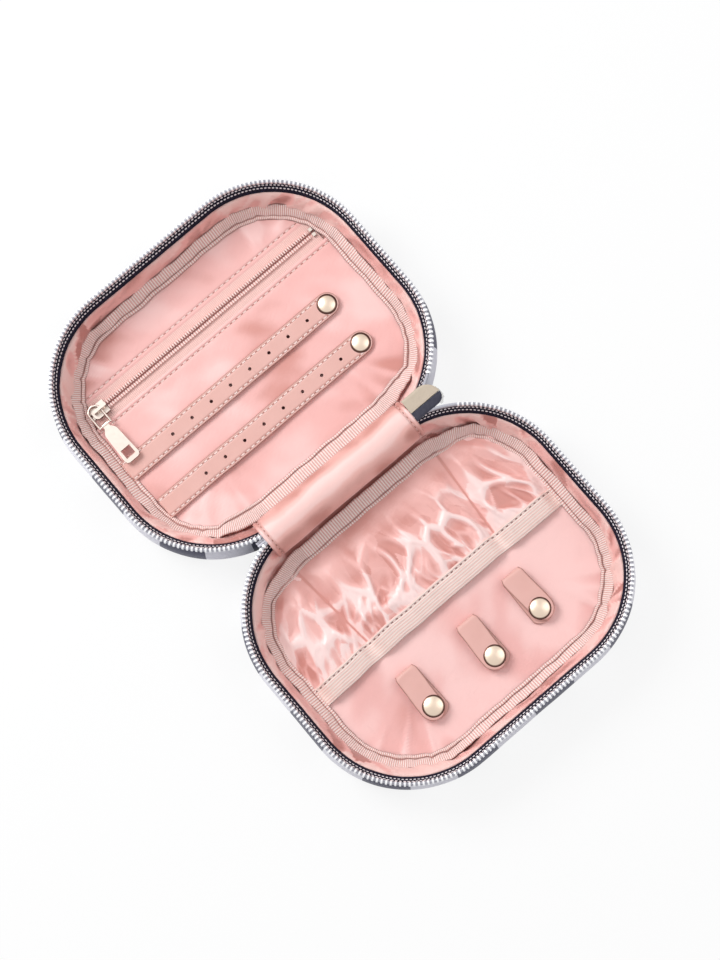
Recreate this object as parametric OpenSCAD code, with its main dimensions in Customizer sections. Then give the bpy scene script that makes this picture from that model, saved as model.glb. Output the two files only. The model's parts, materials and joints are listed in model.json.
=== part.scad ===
// Zip-around travel jewelry case, lying open and flat on its back.
// Millimetres. Origin on the table under the middle of the fold line,
// +X along the fold, +Y towards the lid half, -Y towards the base half, +Z up.
// Both halves are drawn on the +Y side; the base half is mirrored to -Y.

/* [Case] */
// Width of the case along the fold
case_w = 165; // [150:1:190]
// Depth of each half, from the fold line to its far wall
half_d = 134; // [124:1:150]
// Height of each half, which is also the height of the fold line
half_h = 25; // [24:0.5:32]
// Radius of the case's corners, seen from above
corner_r = 50; // [44:1:56]
// How far the near wall's outline runs past the fold line, where the halves are cut off
fold_bite = 2; // [1:0.5:3]
// Space between the two halves at the fold plane, on each side
fold_gap = 0.15; // [0.1:0.05:0.4]

/* [Cover] */
// Thickness of the checked outer cover
cover_t = 1; // [0.8:0.1:1.4]
// Height at which the cover's wall is widest, also the radius of its lower edge
bulge_z = 8; // [6:0.5:9]
// Height of the cover's sewn top edge
cover_top = 18.4; // [17:0.2:19.5]
// How far the cover's top edge leans in
cover_lean = 3.4; // [2.8:0.2:4]

/* [Inside] */
// Thickness of the stiffened floor under the satin
floor_t = 2; // [1.5:0.5:3]
// Thickness of the padded satin floor panels
panel_t = 1.6; // [1.5:0.1:2.2]
// Distance of the floor panels' edge from the outline
panel_in = 13; // [12.5:0.5:14]
// Thickness of the satin lining on the walls
lining_t = 0.5; // [0.4:0.1:0.8]
// Distance of the lining's foot from the outline
lining_foot = 10.5; // [10:0.5:11]
// Distance of the lining's top from the outline
lining_head = 6.8; // [6.6:0.1:7.4]
// Height of the padded wall's top
wall_top = 17; // [16:0.5:18]
// Half the thickness of the folded binding
binding_r = 0.8; // [0.5:0.1:1]
// Height that the binding stands above the panel
binding_rise = 4.2; // [3:0.2:5]
// How far the binding leans out from its foot to its top
binding_lean = 1.2; // [0.6:0.1:1.3]
// How far the cloth tab that caps the zip's end reaches past the main slider
end_tab_over = 1.9; // [1.5:0.1:3]
// How far the lid's side of that tab reaches from the fold
lid_tab_reach = 7; // [5:0.5:8]
// How far the base's side of that tab reaches from the fold
base_tab_reach = 4; // [3:0.5:5]
// How far the padded roll over the fold stops short of the fold's ends
roll_setback = 4; // [3:0.5:8]
// Radius of the padded roll
roll_r = 9.4; // [8:0.2:10]

/* [Main zip] */
// Thickness of the zip tape
tape_t = 0.9; // [0.6:0.1:1]
// How far the tape leans out from its foot to its top
tape_lean = 3; // [2.4:0.1:3.4]
// Distance between teeth along the rim
tooth_pitch = 2; // [1.9:0.1:2.6]
// Width of a tooth along the rim
tooth_w = 0.86; // [0.7:0.02:0.9]
// Depth of a tooth across the rim
tooth_d = 2.2; // [1.8:0.1:2.4]
// How far the teeth reach past the fold's height, to mesh with the other row
tooth_mesh = 0.4; // [0.2:0.1:0.6]

/* [Lid pocket and straps] */
// Distance of the pocket zip from the lid's far wall
zip_from_wall = 39.2; // [37:0.2:41]
// Half the width of the window that the pocket zip shows in
window_half = 4.9; // [4.6:0.1:5.4]
// Distance between teeth of the pocket zip
pocket_pitch = 1.25; // [1.2:0.05:1.6]
// Distance of the upper strap from the pocket zip
strap_from_zip = 29.8; // [28:0.2:31]
// Distance between the two straps
strap_spacing = 23.2; // [21:0.2:25]
// Width of a strap
strap_w = 11; // [10:0.5:12]
// Thickness of a strap's two layers
strap_t = 1.4; // [1.2:0.1:1.6]
// Length of a strap's sewn end, where the strap bends when it is lifted
strap_sewn = 13.4; // [12:0.2:16]
// Distance of the straps' snaps from the binding
strap_snap_gap = 19.8; // [18:0.2:24]
// Distance between the holes for ear studs
stud_hole_pitch = 11.2; // [10:0.1:12]

/* [Base pocket and necklace tabs] */
// Distance of the elastic band's near edge from the fold line
band_y = 61; // [58:0.2:63]
// Width of the elastic band
band_w = 9.6; // [8:0.2:11]
// Thickness of the elastic band
band_t = 1.2; // [0.8:0.1:1.6]
// How far the gathered pocket stands open above the panel
pocket_gape = 4.4; // [4.3:0.1:5]
// Where the pocket's two dividing seams meet the band
seam_x = 36.5; // [34:0.5:40]
// Height of the pocket's gathers
gather_h = 1.7; // [0.5:0.1:2.5]
// Place of the left necklace tab along the fold
left_tab_x = -33; // [-36:0.5:-30]
// Place of the middle necklace tab along the fold
middle_tab_x = 1.5; // [-2:0.5:4]
// Place of the right necklace tab along the fold
right_tab_x = 30; // [28:0.5:34]
// Distance of the middle tab's snap from the base's far wall
tab_from_wall = 31.7; // [30:0.1:34]
// Width of a necklace tab
tab_w = 11; // [10:0.5:12]
// Length of a necklace tab from its fold to its snap
tab_reach = 18.2; // [15:0.2:19]
// Thickness of a tab's leather
tab_t = 1; // [0.8:0.1:1.2]

/* [Snaps and pulls] */
// Diameter of a strap's snap cap
strap_cap_d = 9.4; // [8:0.2:10.4]
// Diameter of a necklace tab's snap cap
tab_cap_d = 10; // [9:0.2:11]
// Height of a snap cap's dome
cap_h = 1.3; // [1:0.05:1.35]
// Radius of a snap's stud
stud_r = 1.9; // [1.6:0.1:2.1]
// Diameter of the wire link between slider and pull
link_d = 1.1; // [0.9:0.1:1.2]
// Length of the pocket zip slider's plates
plate_l = 7.8; // [7:0.2:8.4]
// Width of the pocket zip slider's plates
plate_w = 6.4; // [6:0.1:6.8]
// Length of the pocket zip's pull
pull_len = 20.4; // [16:0.2:21]
// Width of the pocket zip's pull
pull_w = 7.8; // [6:0.2:9]
// Thickness of the pulls
pull_t = 1.1; // [0.9:0.1:1.2]
// Length of the main zip's slider
main_len = 7.8; // [7:0.2:9]
// Width of the main zip's slider
main_w = 5.8; // [5.4:0.1:6]
// Distance of the main slider from the end of the fold's wall
main_gap = 2.3; // [2:0.1:3]
// Length of the main zip's pull
main_pull_len = 17.4; // [14:0.2:18]

/* [Hidden] */
$fn = 96;

SATIN = [0.95, 0.71, 0.69];
GROSGRAIN = [0.96, 0.79, 0.77];
LEATHER = [0.9, 0.7, 0.66];
NAVY = [0.13, 0.13, 0.24];
WHITE = [0.9, 0.89, 0.92];
GOLD = [0.83, 0.76, 0.66];
SILVER = [0.75, 0.76, 0.78];
FOAM = [0.85, 0.85, 0.82];

fit = 0.1;      // clearance between pieces that nest
eps = 0.01;     // overlap that joins the parts of one solid
far = 300;      // longer than anything that is cut

// Outline of a half from above: a rounded rectangle around mid_y. cx and cy are half the
// distances between the corners' centres.
half_a = case_w / 2;
half_b = (half_d + fold_bite) / 2;
mid_y = half_d - half_b;
cx = half_a - corner_r;
cy = half_b - corner_r;
near_cy = mid_y - cy;
spine_half = cx + sqrt(corner_r * corner_r - near_cy * near_cy) - 0.5;   // half the fold's straight wall
roll_half = spine_half - roll_setback;

// Heights of the layers
floor_top = cover_t + floor_t;
panel_top = floor_top + panel_t;
back_t = 0.2;                                   // the pocket's back lining
back_top = floor_top + back_t;

// The binding stands just inside the panels' edge, and straps and pocket end at it
binding_foot = panel_in + binding_r + 0.4;
inside_binding = binding_foot + binding_r + fit;

// Cover wall: a quarter circle below the bulge and a wide arc above it
lean_h = cover_top - bulge_z;
lean_r = (cover_lean * cover_lean + lean_h * lean_h) / (2 * cover_lean);

// Main zip. The tape's outer side clears the cover's sewn top edge.
cover_inner = lean_r - sqrt(pow(lean_r - cover_t, 2) - lean_h * lean_h);
tape_top = half_h - 1.3;
tape_foot = cover_inner + fit + tape_t / 2 + tape_lean * (cover_top - wall_top) / (tape_top - wall_top);
tape_head = tape_foot - tape_lean;
bead_r = 0.75;
tooth_h = half_h + tooth_mesh - tape_top;
spine_top = tape_top - bead_r / 4 - fit;         // the fold's wall ends below the teeth
end_tab_x = spine_half + main_gap + main_len + end_tab_over;

// Lid pocket and straps, from the far wall inwards
zip_y = half_d - zip_from_wall;
upper_strap_y = zip_y - strap_from_zip;
lower_strap_y = upper_strap_y - strap_spacing;
strap_bend = inside_binding + strap_sewn - half_a;
strap_snap_x = half_a - inside_binding - strap_snap_gap;
stud_hole_first = 11.5;             // from the snap to the first hole
stud_hole_last = 4;                 // at least this far from the bend
stud_holes = floor((strap_snap_x - strap_bend - stud_hole_first - stud_hole_last) / stud_hole_pitch) + 1;

// ---------------------------------------------------------------- outline helpers

// Sweeps a profile, drawn as (distance outside the outline, height), around the half's outline
module along_outline() {
    translate([-cx, half_d, 0]) rotate([90, 0, 90]) linear_extrude(2 * cx) children();
    translate([cx, mid_y - half_b, 0]) rotate([90, 0, -90]) linear_extrude(2 * cx) children();
    for (flip = [0, 1]) mirror([flip, 0, 0]) {
        translate([half_a, mid_y + cy, 0]) rotate([90, 0, 0]) linear_extrude(2 * cy) children();
        translate([cx, mid_y + cy, 0]) rotate_extrude(angle = 90) translate([corner_r, 0]) children();
        translate([cx, near_cy, 0]) rotate([0, 0, -90])
            rotate_extrude(angle = 90) translate([corner_r, 0]) children();
    }
}

// Distance from the half's middle line to its outline drawn in by inset, at a distance y from
// the fold line
function side_x(y, inset) =
    cx + sqrt(pow(corner_r - inset, 2) - pow(max(0, y - mid_y - cy, near_cy - y), 2));

// The flat middle of a floor, inside the swept edge, whose inner side is floor_reach from the
// outline. The two overlap between there and the middle's chamfered corners.
floor_reach = corner_r * 2 / 3;
module floor_middle(z0, z1) {
    e = corner_r * 5 / 9;
    translate([0, mid_y, z0]) linear_extrude(z1 - z0)
        polygon([[cx, cy + e], [cx + e, cy], [cx + e, -cy], [cx, -cy - e],
                 [-cx, -cy - e], [-cx - e, -cy], [-cx - e, cy], [-cx, cy + e]]);
}

// A floor with the half's outline, drawn in by inset
module floor_plate(inset, z0, z1) {
    along_outline() translate([-floor_reach, z0]) square([floor_reach - inset, z1 - z0]);
    floor_middle(z0, z1);
}

module beyond_fold(y) {
    intersection() {
        children();
        translate([-far, y, -far]) cube([2 * far, 2 * far, 2 * far]);
    }
}

// What the padded roll over the fold takes out of the other layers
module roll_room() {
    translate([-roll_half - fit, -far, floor_top])
        cube([2 * (roll_half + fit), far + roll_r + fold_gap + fit, far]);
}

module base_side() { mirror([0, 1, 0]) children(); }

// Half the thickness of a slanted strip's round-ended section
module strip_section(p, q, r) {
    d = (q - p) / norm(q - p);
    s = [-d[1], d[0]] * r;
    polygon([p - s, q - s, q + s, p + s]);
    translate(p) circle(r, $fn = 32);
    translate(q) circle(r, $fn = 32);
}

// ---------------------------------------------------------------- shells of a half

module cover_section() {
    intersection() {
        difference() {
            translate([-bulge_z, bulge_z]) circle(bulge_z);
            translate([-bulge_z, bulge_z]) circle(bulge_z - cover_t);
        }
        translate([-bulge_z, 0]) square(bulge_z);
    }
    intersection() {
        difference() {
            translate([-lean_r, bulge_z]) circle(lean_r);
            translate([-lean_r, bulge_z]) circle(lean_r - cover_t);
        }
        translate([-lean_r, bulge_z]) square([lean_r, lean_h]);
    }
    translate([-floor_reach, 0]) square([floor_reach - bulge_z, cover_t]);
}

module cover() {
    difference() {
        beyond_fold(fold_gap) {
            along_outline() cover_section();
            floor_middle(0, cover_t);
        }
        translate([-roll_half - fit, fold_gap + cover_t, floor_top])
            cube([2 * (roll_half + fit), roll_r, far]);
    }
    translate([-spine_half, fold_gap, cover_t * 2])
        cube([2 * spine_half, cover_t, spine_top - cover_t * 2]);
}

module foam_section() {
    intersection() {
        union() {
            intersection() {
                translate([-bulge_z, bulge_z]) circle(bulge_z - cover_t - fit / 2);
                translate([-bulge_z, 0]) square(bulge_z);
            }
            intersection() {
                translate([-lean_r, bulge_z]) circle(lean_r - cover_t - fit / 2);
                translate([-lean_r, bulge_z]) square([lean_r, lean_h]);
            }
            translate([-floor_reach, 0]) square([floor_reach - bulge_z, bulge_z]);
        }
        polygon([[-floor_reach, cover_t], [0, cover_t], [0, wall_top], [-lining_head, wall_top],
                 [-lining_foot, floor_top], [-floor_reach, floor_top]]);
    }
}

module foam() {
    difference() {
        beyond_fold(fold_gap + cover_t + fit) {
            along_outline() foam_section();
            floor_middle(cover_t, floor_top);
        }
        roll_room();
    }
}

module lining_section() {
    foot = -lining_foot - fit / 2;
    head = -lining_head - fit / 2;
    polygon([[foot, floor_top], [head, wall_top], [head - lining_t, wall_top], [foot - lining_t, floor_top]]);
}

module lining() {
    difference() {
        beyond_fold(fold_gap + cover_t + fit) along_outline() lining_section();
        roll_room();
    }
}

module binding() {
    foot = [-binding_foot, panel_top + binding_r];
    head = [-binding_foot + binding_lean, panel_top + binding_rise - binding_r];
    along_outline() strip_section(foot, head, binding_r);
}

module zip_tape() {
    d = [tape_lean, tape_top - wall_top] / norm([tape_lean, tape_top - wall_top]);
    s = [-d[1], d[0]] * tape_t / 2;
    p = [-tape_foot, wall_top];
    q = [-tape_head, tape_top];
    difference() {
        beyond_fold(fold_gap + cover_t + fit) along_outline() {
            polygon([[p[0] - tape_t / 2, wall_top], [p[0] + tape_t / 2, wall_top], q - s, q + s]);
            translate(q) circle(bead_r, $fn = 32);
        }
        roll_room();
        end_tab_room();
    }
}

// A point on the rim at distance s from the middle of the far wall: [x, y, heading]
rim_r = corner_r - tape_head;
turn_len = rim_r * PI / 2;
row_len = cx + 2 * turn_len + 2 * cy;
function rim_at(s) =
    s < cx ? [s, half_d - tape_head, 90] :
    s < cx + turn_len ? on_turn(mid_y + cy, 90 - (s - cx) / rim_r * 180 / PI) :
    s < cx + turn_len + 2 * cy ? [half_a - tape_head, mid_y + cy - (s - cx - turn_len), 0] :
    on_turn(near_cy, -(s - cx - turn_len - 2 * cy) / rim_r * 180 / PI);
function on_turn(y, a) = [cx + rim_r * cos(a), y + rim_r * sin(a), a];

// A tooth: a block with a round nose, clamped on the tape's bead
module tooth() {
    rotate([90, 0, 0]) translate([0, 0, -tooth_w / 2]) linear_extrude(tooth_w) difference() {
        union() {
            translate([-tooth_d / 2, -bead_r / 4])
                square([tooth_d, tooth_h - tooth_d / 2 + bead_r / 4 + eps]);
            intersection() {
                translate([0, tooth_h - tooth_d / 2]) circle(tooth_d / 2, $fn = 32);
                translate([-tooth_d / 2, tooth_h - tooth_d / 2]) square([tooth_d, tooth_d / 2]);
            }
        }
        circle(bead_r + 0.03, $fn = 32);
    }
}

// Teeth from the middle of the far wall down both sides to the roll, and on the right to the
// tab that caps the zip's end. The two halves' rows start half a pitch apart, so that they
// mesh when the case is closed.
module zip_teeth(start) {
    for (side = [-1, 1], i = [side < 0 && start == 0 ? 1 : 0 : floor((row_len - start) / tooth_pitch)]) {
        p = rim_at(start + i * tooth_pitch);
        end_x = side < 0 ? roll_half : end_tab_x;
        end_y = side < 0 ? mid_y : lid_tab_reach + tooth_d;
        if (p[0] > end_x + tooth_w || p[1] > end_y)
            translate([side * p[0], p[1], tape_top]) rotate([0, 0, side > 0 ? p[2] : 180 - p[2]]) tooth();
    }
}

// The padded roll that covers the fold from inside: one quarter of it on each half.
// A sewn channel is drawn in near each end.
roll_channel = 2.5;
module roll_section(r) {
    y0 = fold_gap + cover_t + fit / 2;
    zc = half_h - fold_gap - roll_r;
    translate([y0, floor_top]) square([fold_gap + r - y0, zc - floor_top]);
    intersection() {
        translate([fold_gap, zc]) circle(r);
        union() {
            translate([y0, zc - eps]) square([r, r + eps]);
            translate([fold_gap, spine_top + fit / 2]) square([r, r]);
        }
    }
}
module roll_length(from, to, r) {
    translate([from, 0, 0]) rotate([90, 0, 90]) linear_extrude(to - from) roll_section(r);
}
module spine_roll() {
    roll_length(-roll_half + roll_channel + 1, roll_half - roll_channel - 1, roll_r);
    for (flip = [0, 1]) mirror([flip, 0, 0]) {
        roll_length(roll_half - roll_channel - 1, roll_half - roll_channel, roll_r - 0.5);
        roll_length(roll_half - roll_channel, roll_half, roll_r - 0.1);
    }
}

// The tab of cover cloth that caps the end of the zip beside the roll. It has a round outer
// corner, and each half has its own side of it.
module end_tab_outline(reach, grow) {
    translate([roll_half, fold_gap]) square([end_tab_x - roll_half - reach + grow, reach + grow]);
    intersection() {
        translate([end_tab_x - reach, fold_gap]) circle(reach + grow);
        translate([roll_half, fold_gap]) square([far, far]);
    }
}
module end_tab(reach) {
    translate([0, 0, half_h - fold_gap - cover_t]) linear_extrude(cover_t) end_tab_outline(reach, 0);
}
module end_tab_room() {
    translate([0, 0, half_h - fold_gap - cover_t - fit]) linear_extrude(far)
        end_tab_outline(lid_tab_reach, fit);
}

// ---------------------------------------------------------------- lid half

snap_hole_r = 4.4;
tape_edge = window_half + 2.1;      // the pocket tape runs on under the panels' folded edges
tape_z = back_top + 0.7;            // room for the slider's lower plate
pocket_tape_t = 0.3;
zip_half = side_x(zip_y + tape_edge, lining_foot + lining_t + 1);   // half the length of its tape
stop_half = 0.8;                    // half a stop's width across the zip
stop_y = 1.4;                       // from the zip's middle to each stop's
stop_x = side_x(zip_y + stop_y + stop_half, inside_binding);
low_stop = 1.6;                     // length of the stops where the zip starts
high_stop = 0.6;                    // length of those where it closes

module panel_at(from, to, z0, z1) {
    intersection() {
        floor_plate(panel_in, z0, z1);
        translate([-far, from, z0]) cube([2 * far, to - from, z1 - z0]);
    }
}

module pocket_back() {
    floor_plate(panel_in, floor_top, back_top);
}

module upper_panel() {
    tape = tape_edge + fit;
    panel_at(zip_y + tape, far, back_top, panel_top);
    panel_at(zip_y + window_half, zip_y + tape + eps, tape_z + pocket_tape_t, panel_top);
}

module lower_panel() {
    tape = tape_edge + fit;
    difference() {
        union() {
            panel_at(-far, zip_y - tape, back_top, panel_top);
            panel_at(zip_y - tape - eps, zip_y - window_half, tape_z + pocket_tape_t, panel_top);
        }
        for (y = [upper_strap_y, lower_strap_y])
            translate([strap_snap_x, y, 0]) cylinder(h = far, r = snap_hole_r);
    }
}

// The two tapes stand a little apart, so that the slider's neck runs between them
neck_room = 0.45;
module pocket_zip_tape() {
    for (side = [-1, 1])
        translate([-zip_half, zip_y + (side > 0 ? neck_room : -tape_edge), tape_z])
            cube([2 * zip_half, tape_edge - neck_room, pocket_tape_t]);
}

// Each row is a rack: a cord along the tape's edge with a tooth at every pitch
cord_in = 1.15;
cord_out = 1.85;
chain_h = 1.1;
module pocket_zip_teeth() {
    n = floor((2 * stop_x - low_stop - high_stop) / pocket_pitch - 0.5);
    w = pocket_pitch * 0.44;
    for (side = [-1, 1]) {
        x0 = high_stop - stop_x + w / 2 + fit + (side > 0 ? 0 : pocket_pitch / 2);
        translate([0, zip_y, tape_z + pocket_tape_t]) mirror([0, side > 0 ? 0 : 1, 0])
            linear_extrude(chain_h) polygon(concat(
                [[x0 - w / 2, cord_out]],
                [for (i = [0 : n - 1]) for (q = [[-w / 2, neck_room], [w / 2, neck_room],
                    [w / 2, cord_in], [pocket_pitch - w / 2, cord_in]])
                    if (i < n - 1 || q[1] == neck_room) [x0 + i * pocket_pitch + q[0], q[1]]],
                [[x0 + (n - 1) * pocket_pitch + w / 2, cord_out]]));
    }
}

module pocket_zip_stops() {
    for (side = [-1, 1])
        translate([0, zip_y + side * stop_y - stop_half, tape_z + pocket_tape_t]) {
            translate([stop_x - low_stop, 0, 0]) cube([low_stop, 2 * stop_half, chain_h + 0.15]);
            translate([-stop_x, 0, 0]) cube([high_stop, 2 * stop_half, chain_h + 0.15]);
        }
}

// Sewn end of a strap, and the strap itself, which bends up where the sewn end stops
module strap_end(y) {
    start = -min(side_x(y - strap_w / 2, inside_binding), side_x(y + strap_w / 2, inside_binding));
    translate([start, y - strap_w / 2, panel_top])
        cube([strap_bend - fit - start, strap_w, strap_t]);
}
module strap(y) {
    difference() {
        translate([0, y, panel_top]) linear_extrude(strap_t) {
            translate([strap_bend, -strap_w / 2]) square([strap_snap_x - strap_bend, strap_w]);
            translate([strap_snap_x, 0]) circle(strap_w / 2);
        }
        for (i = [0 : stud_holes - 1])
            translate([strap_snap_x - stud_hole_first - i * stud_hole_pitch, y, 0])
                cylinder(h = far, r = 0.75, $fn = 24);
        translate([strap_snap_x, y, 0]) cylinder(h = far, r = rivet_r);
    }
}

// ---------------------------------------------------------------- snaps

rivet_r = 1.4;
stud_h = 1.3;
socket_t = 0.9;

// A domed cap with its rivet. z is the top of the leather that it sits on, t the leather's thickness.
module snap_cap(x, y, z, t, d) {
    dome = (d * d / 4 + cap_h * cap_h) / (2 * cap_h);
    translate([x, y, z]) {
        intersection() {
            translate([0, 0, cap_h - dome]) sphere(dome, $fn = 180);
            cylinder(h = cap_h, d = d);
        }
        translate([0, 0, -t]) cylinder(h = t + eps, r = rivet_r);
    }
}
// The socket under the leather. z is its top.
module snap_socket(x, y, z) {
    translate([x, y, z - socket_t]) difference() {
        cylinder(h = socket_t, r = snap_hole_r - 0.4);
        translate([0, 0, -eps]) cylinder(h = socket_t + 2 * eps, r = stud_r + 0.15);
    }
}
// The stud on its foot. z is the bottom of its foot.
module snap_stud(x, y, z) {
    translate([x, y, z]) {
        cylinder(h = 0.4, r = snap_hole_r - 0.5);
        translate([0, 0, 0.4 - eps]) cylinder(h = stud_h - 0.4 - 0.3, r = stud_r - 0.25);
        translate([0, 0, stud_h - 0.6]) cylinder(h = 0.5, r = stud_r);
    }
}

module strap_cap(y) { snap_cap(strap_snap_x, y, panel_top + strap_t, strap_t, strap_cap_d); }
module strap_socket(y) { snap_socket(strap_snap_x, y, panel_top); }
module strap_studs() {
    for (y = [upper_strap_y, lower_strap_y]) snap_stud(strap_snap_x, y, back_top);
}

// ---------------------------------------------------------------- pocket slider and pull

// The slider stands against the stops where the zip closes
slider_x = high_stop + fit + plate_l / 2 - stop_x;
plate_z = tape_z + pocket_tape_t + chain_h + 0.25;
link_r = link_d / 2;
link_z = panel_top + strap_t + cap_h + link_r + fit;
bail_top = link_z + link_r + 1;
post_x = -2.2;                      // the bail's rear post, which the link swings around
post_w = 1.1;
bail_span = 4.6;                    // clear opening under the bail
link_half = 3.05;
link_len = 7.2;
foot_r = link_r - 0.15;

module plate_outline() {
    nose = plate_w / 3;
    translate([-plate_l / 2 + nose, -plate_w / 2]) square([plate_l - nose, plate_w]);
    translate([-plate_l / 2, -plate_w / 2 + nose]) square([nose + eps, plate_w - 2 * nose]);
    for (s = [-1, 1]) translate([-plate_l / 2 + nose, s * (plate_w / 2 - nose)]) circle(nose, $fn = 48);
}

module pocket_slider() {
    low = back_top + fit;
    tape = tape_z + pocket_tape_t + fit;
    flange = 0.8;
    translate([slider_x, zip_y, 0]) {
        translate([0, 0, plate_z]) linear_extrude(1) plate_outline();
        translate([0, 0, low]) linear_extrude(tape_z - fit - low) plate_outline();
        // side flanges that keep the two rows together
        for (s = [-1, 1]) translate([-plate_l / 4, s * (plate_w - flange) / 2 - flange / 2, tape])
            cube([plate_l * 3 / 4, flange, plate_z + fit - tape]);
        // the neck between the rows
        translate([-plate_l / 2, fit - neck_room, low])
            cube([2, 2 * (neck_room - fit), plate_z - low + eps]);
        // the bail, a bridge on two posts that the link passes under
        difference() {
            translate([post_x - post_w / 2, -0.7, plate_z])
                cube([bail_span + 2 * post_w, 1.4, bail_top - plate_z]);
            translate([post_x + post_w / 2, -2, plate_z + 1])
                cube([bail_span, 4, link_z + link_r + fit - plate_z - 1]);
        }
    }
}

// U-shaped wire: its round end goes around the bail's rear post, and its feet turn in to hold
// the pull's neck
module slider_link() {
    translate([slider_x + post_x, zip_y, link_z]) {
        rotate_extrude(angle = 180) translate([link_half, 0]) circle(link_r, $fn = 32);
        for (s = [-1, 1]) {
            translate([s * link_half, 0, 0]) rotate([90, 0, 0])
                cylinder(h = link_len + link_r, r = link_r, $fn = 32);
            translate([s * link_half, -link_len, 0]) rotate([0, -s * 90, 0])
                cylinder(h = link_half - neck_w / 4, r = foot_r, $fn = 32);
        }
    }
}

pull_y = zip_y - link_len;
neck_w = 3;
pull_window = 4.6;
shoulder = 3.6;                     // from the pull's pivot to its widening
module pull_outline(w, l, neck, window) {
    difference() {
        union() {
            translate([-neck / 2, -3]) square([neck, 3]);
            polygon([[-neck / 2, 2 - shoulder], [neck / 2, 2 - shoulder], [w * 0.38, -shoulder],
                     [w * 0.42, -shoulder - 1.1], [w / 2, -l + 1.6],
                     [w / 2 - 0.6, -l + 0.4], [w / 2 - 1.6, -l], [-w / 2 + 1.6, -l],
                     [-w / 2 + 0.6, -l + 0.4], [-w / 2, -l + 1.6], [-w * 0.42, -shoulder - 1.1],
                     [-w * 0.38, -shoulder]]);
        }
        translate([-w * 0.31, -l + 2]) square([w * 0.62, window]);
    }
}

module pocket_pull() {
    translate([slider_x + post_x, pull_y, link_z]) difference() {
        union() {
            translate([0, 0, -pull_t / 2]) linear_extrude(pull_t)
                pull_outline(pull_w, pull_len, neck_w, pull_window);
            rotate([0, 90, 0]) cylinder(h = neck_w, r = foot_r + 0.5, center = true, $fn = 48);
        }
        translate([-far / 2, 0, 0]) rotate([0, 90, 0]) cylinder(h = far, r = foot_r + 0.05, $fn = 32);
    }
}

// ---------------------------------------------------------------- main zip's slider

// It stands parked at the end of the zip, in the notch between the halves, under the end tab
main_x0 = spine_half + main_gap;
main_top = half_h - 3.1;
pin_r = 0.6;
pin_x = main_x0 + main_len + pin_r + 0.8;
pin_z = main_top - 1.7;
tail_w = 1.5;
module main_slider() {
    translate([main_x0, -main_w / 2, main_top - 1]) cube([main_len, main_w, 1]);
    translate([main_x0, -main_w / 2, main_top - 3.5]) cube([main_len, main_w, 0.9]);
    translate([main_x0, -0.6, main_top - 3]) cube([2.4, 1.2, 2.5]);
    // ears that the pull's pin passes through
    for (s = [-1, 1]) translate([main_x0 + main_len - 2, s * (main_w / 2 - 0.5) - 0.5, main_top - 3])
        cube([pin_x - main_x0 - main_len + pin_r + 2.2, 1, 2.6]);
    translate([pin_x, 0, pin_z]) rotate([90, 0, 0])
        cylinder(h = main_w - 1, r = pin_r, center = true, $fn = 32);
    // tail of closed zip that carries the slider from the roll's end
    translate([roll_half, -fold_gap - cover_t - fit - tail_w, main_top - 2.4])
        cube([main_x0 + 1 - roll_half, tail_w, 1.3]);
}

paddle_r = 2.6;                     // half the width of the pull's paddle
paddle_z = 3.4;                     // from the pin to the paddle's top
module main_pull() {
    half = main_w / 2 - 1.15;
    round_z = main_pull_len - paddle_r - paddle_z;
    translate([pin_x, 0, pin_z]) difference() {
        union() {
            rotate([90, 0, 0]) cylinder(h = 2 * half, r = pin_r + 0.7, center = true, $fn = 48);
            translate([-pull_t / 2, -half, -paddle_z - 0.2]) cube([pull_t, 2 * half, paddle_z + 0.2]);
            translate([-pull_t / 2, 0, -paddle_z]) rotate([0, 90, 0]) linear_extrude(pull_t)
                difference() {
                    union() {
                        translate([0, -paddle_r]) square([round_z, 2 * paddle_r]);
                        translate([round_z, 0]) circle(paddle_r, $fn = 48);
                    }
                    translate([round_z, 0]) circle(paddle_r / 2, $fn = 32);
                }
        }
        rotate([90, 0, 0]) cylinder(h = far, r = pin_r + 0.05, center = true, $fn = 32);
    }
}

// ---------------------------------------------------------------- base half, drawn on the +Y side

// Necklace tabs: [place along the fold, distance of the snap from the fold line]
left_tab = [left_tab_x, half_d - tab_from_wall - 0.8];
middle_tab = [middle_tab_x, half_d - tab_from_wall];
right_tab = [right_tab_x, half_d - tab_from_wall - 2.8];

flap_z = panel_top + tab_t + 1.5 + fit;
module tab_strip(p, r, z, reach) {
    translate([p[0], p[1], z]) linear_extrude(tab_t) {
        translate([-tab_w / 2, -reach]) square([tab_w, reach]);
        translate([-tab_w / 2, 0]) square([tab_w, 0.6]);
        circle(r);
    }
}
// Back layer with the fold that rises from it
module tab_back(p) {
    tab_strip(p, tab_w / 2 + 0.8, panel_top, tab_reach);
    loop = (flap_z + tab_t - panel_top) / 2;
    translate([p[0] - tab_w / 2, p[1] - tab_reach, panel_top + loop]) rotate([90, 0, 90])
        linear_extrude(tab_w) intersection() {
            difference() {
                circle(loop, $fn = 64);
                circle(loop - tab_t, $fn = 64);
            }
            translate([-far, -far]) square([far + eps, 2 * far]);
        }
}
module tab_flap(p) {
    difference() {
        tab_strip(p, tab_w / 2, flap_z, tab_reach - fit);
        translate([p[0], p[1], 0]) cylinder(h = far, r = rivet_r);
    }
}
module tab_cap(p) { snap_cap(p[0], p[1], flap_z + tab_t, tab_t, tab_cap_d); }
module tab_socket(p) { snap_socket(p[0], p[1], flap_z); }
module tab_studs() {
    for (p = [left_tab, middle_tab, right_tab]) snap_stud(p[0], p[1], panel_top + tab_t);
}

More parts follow.
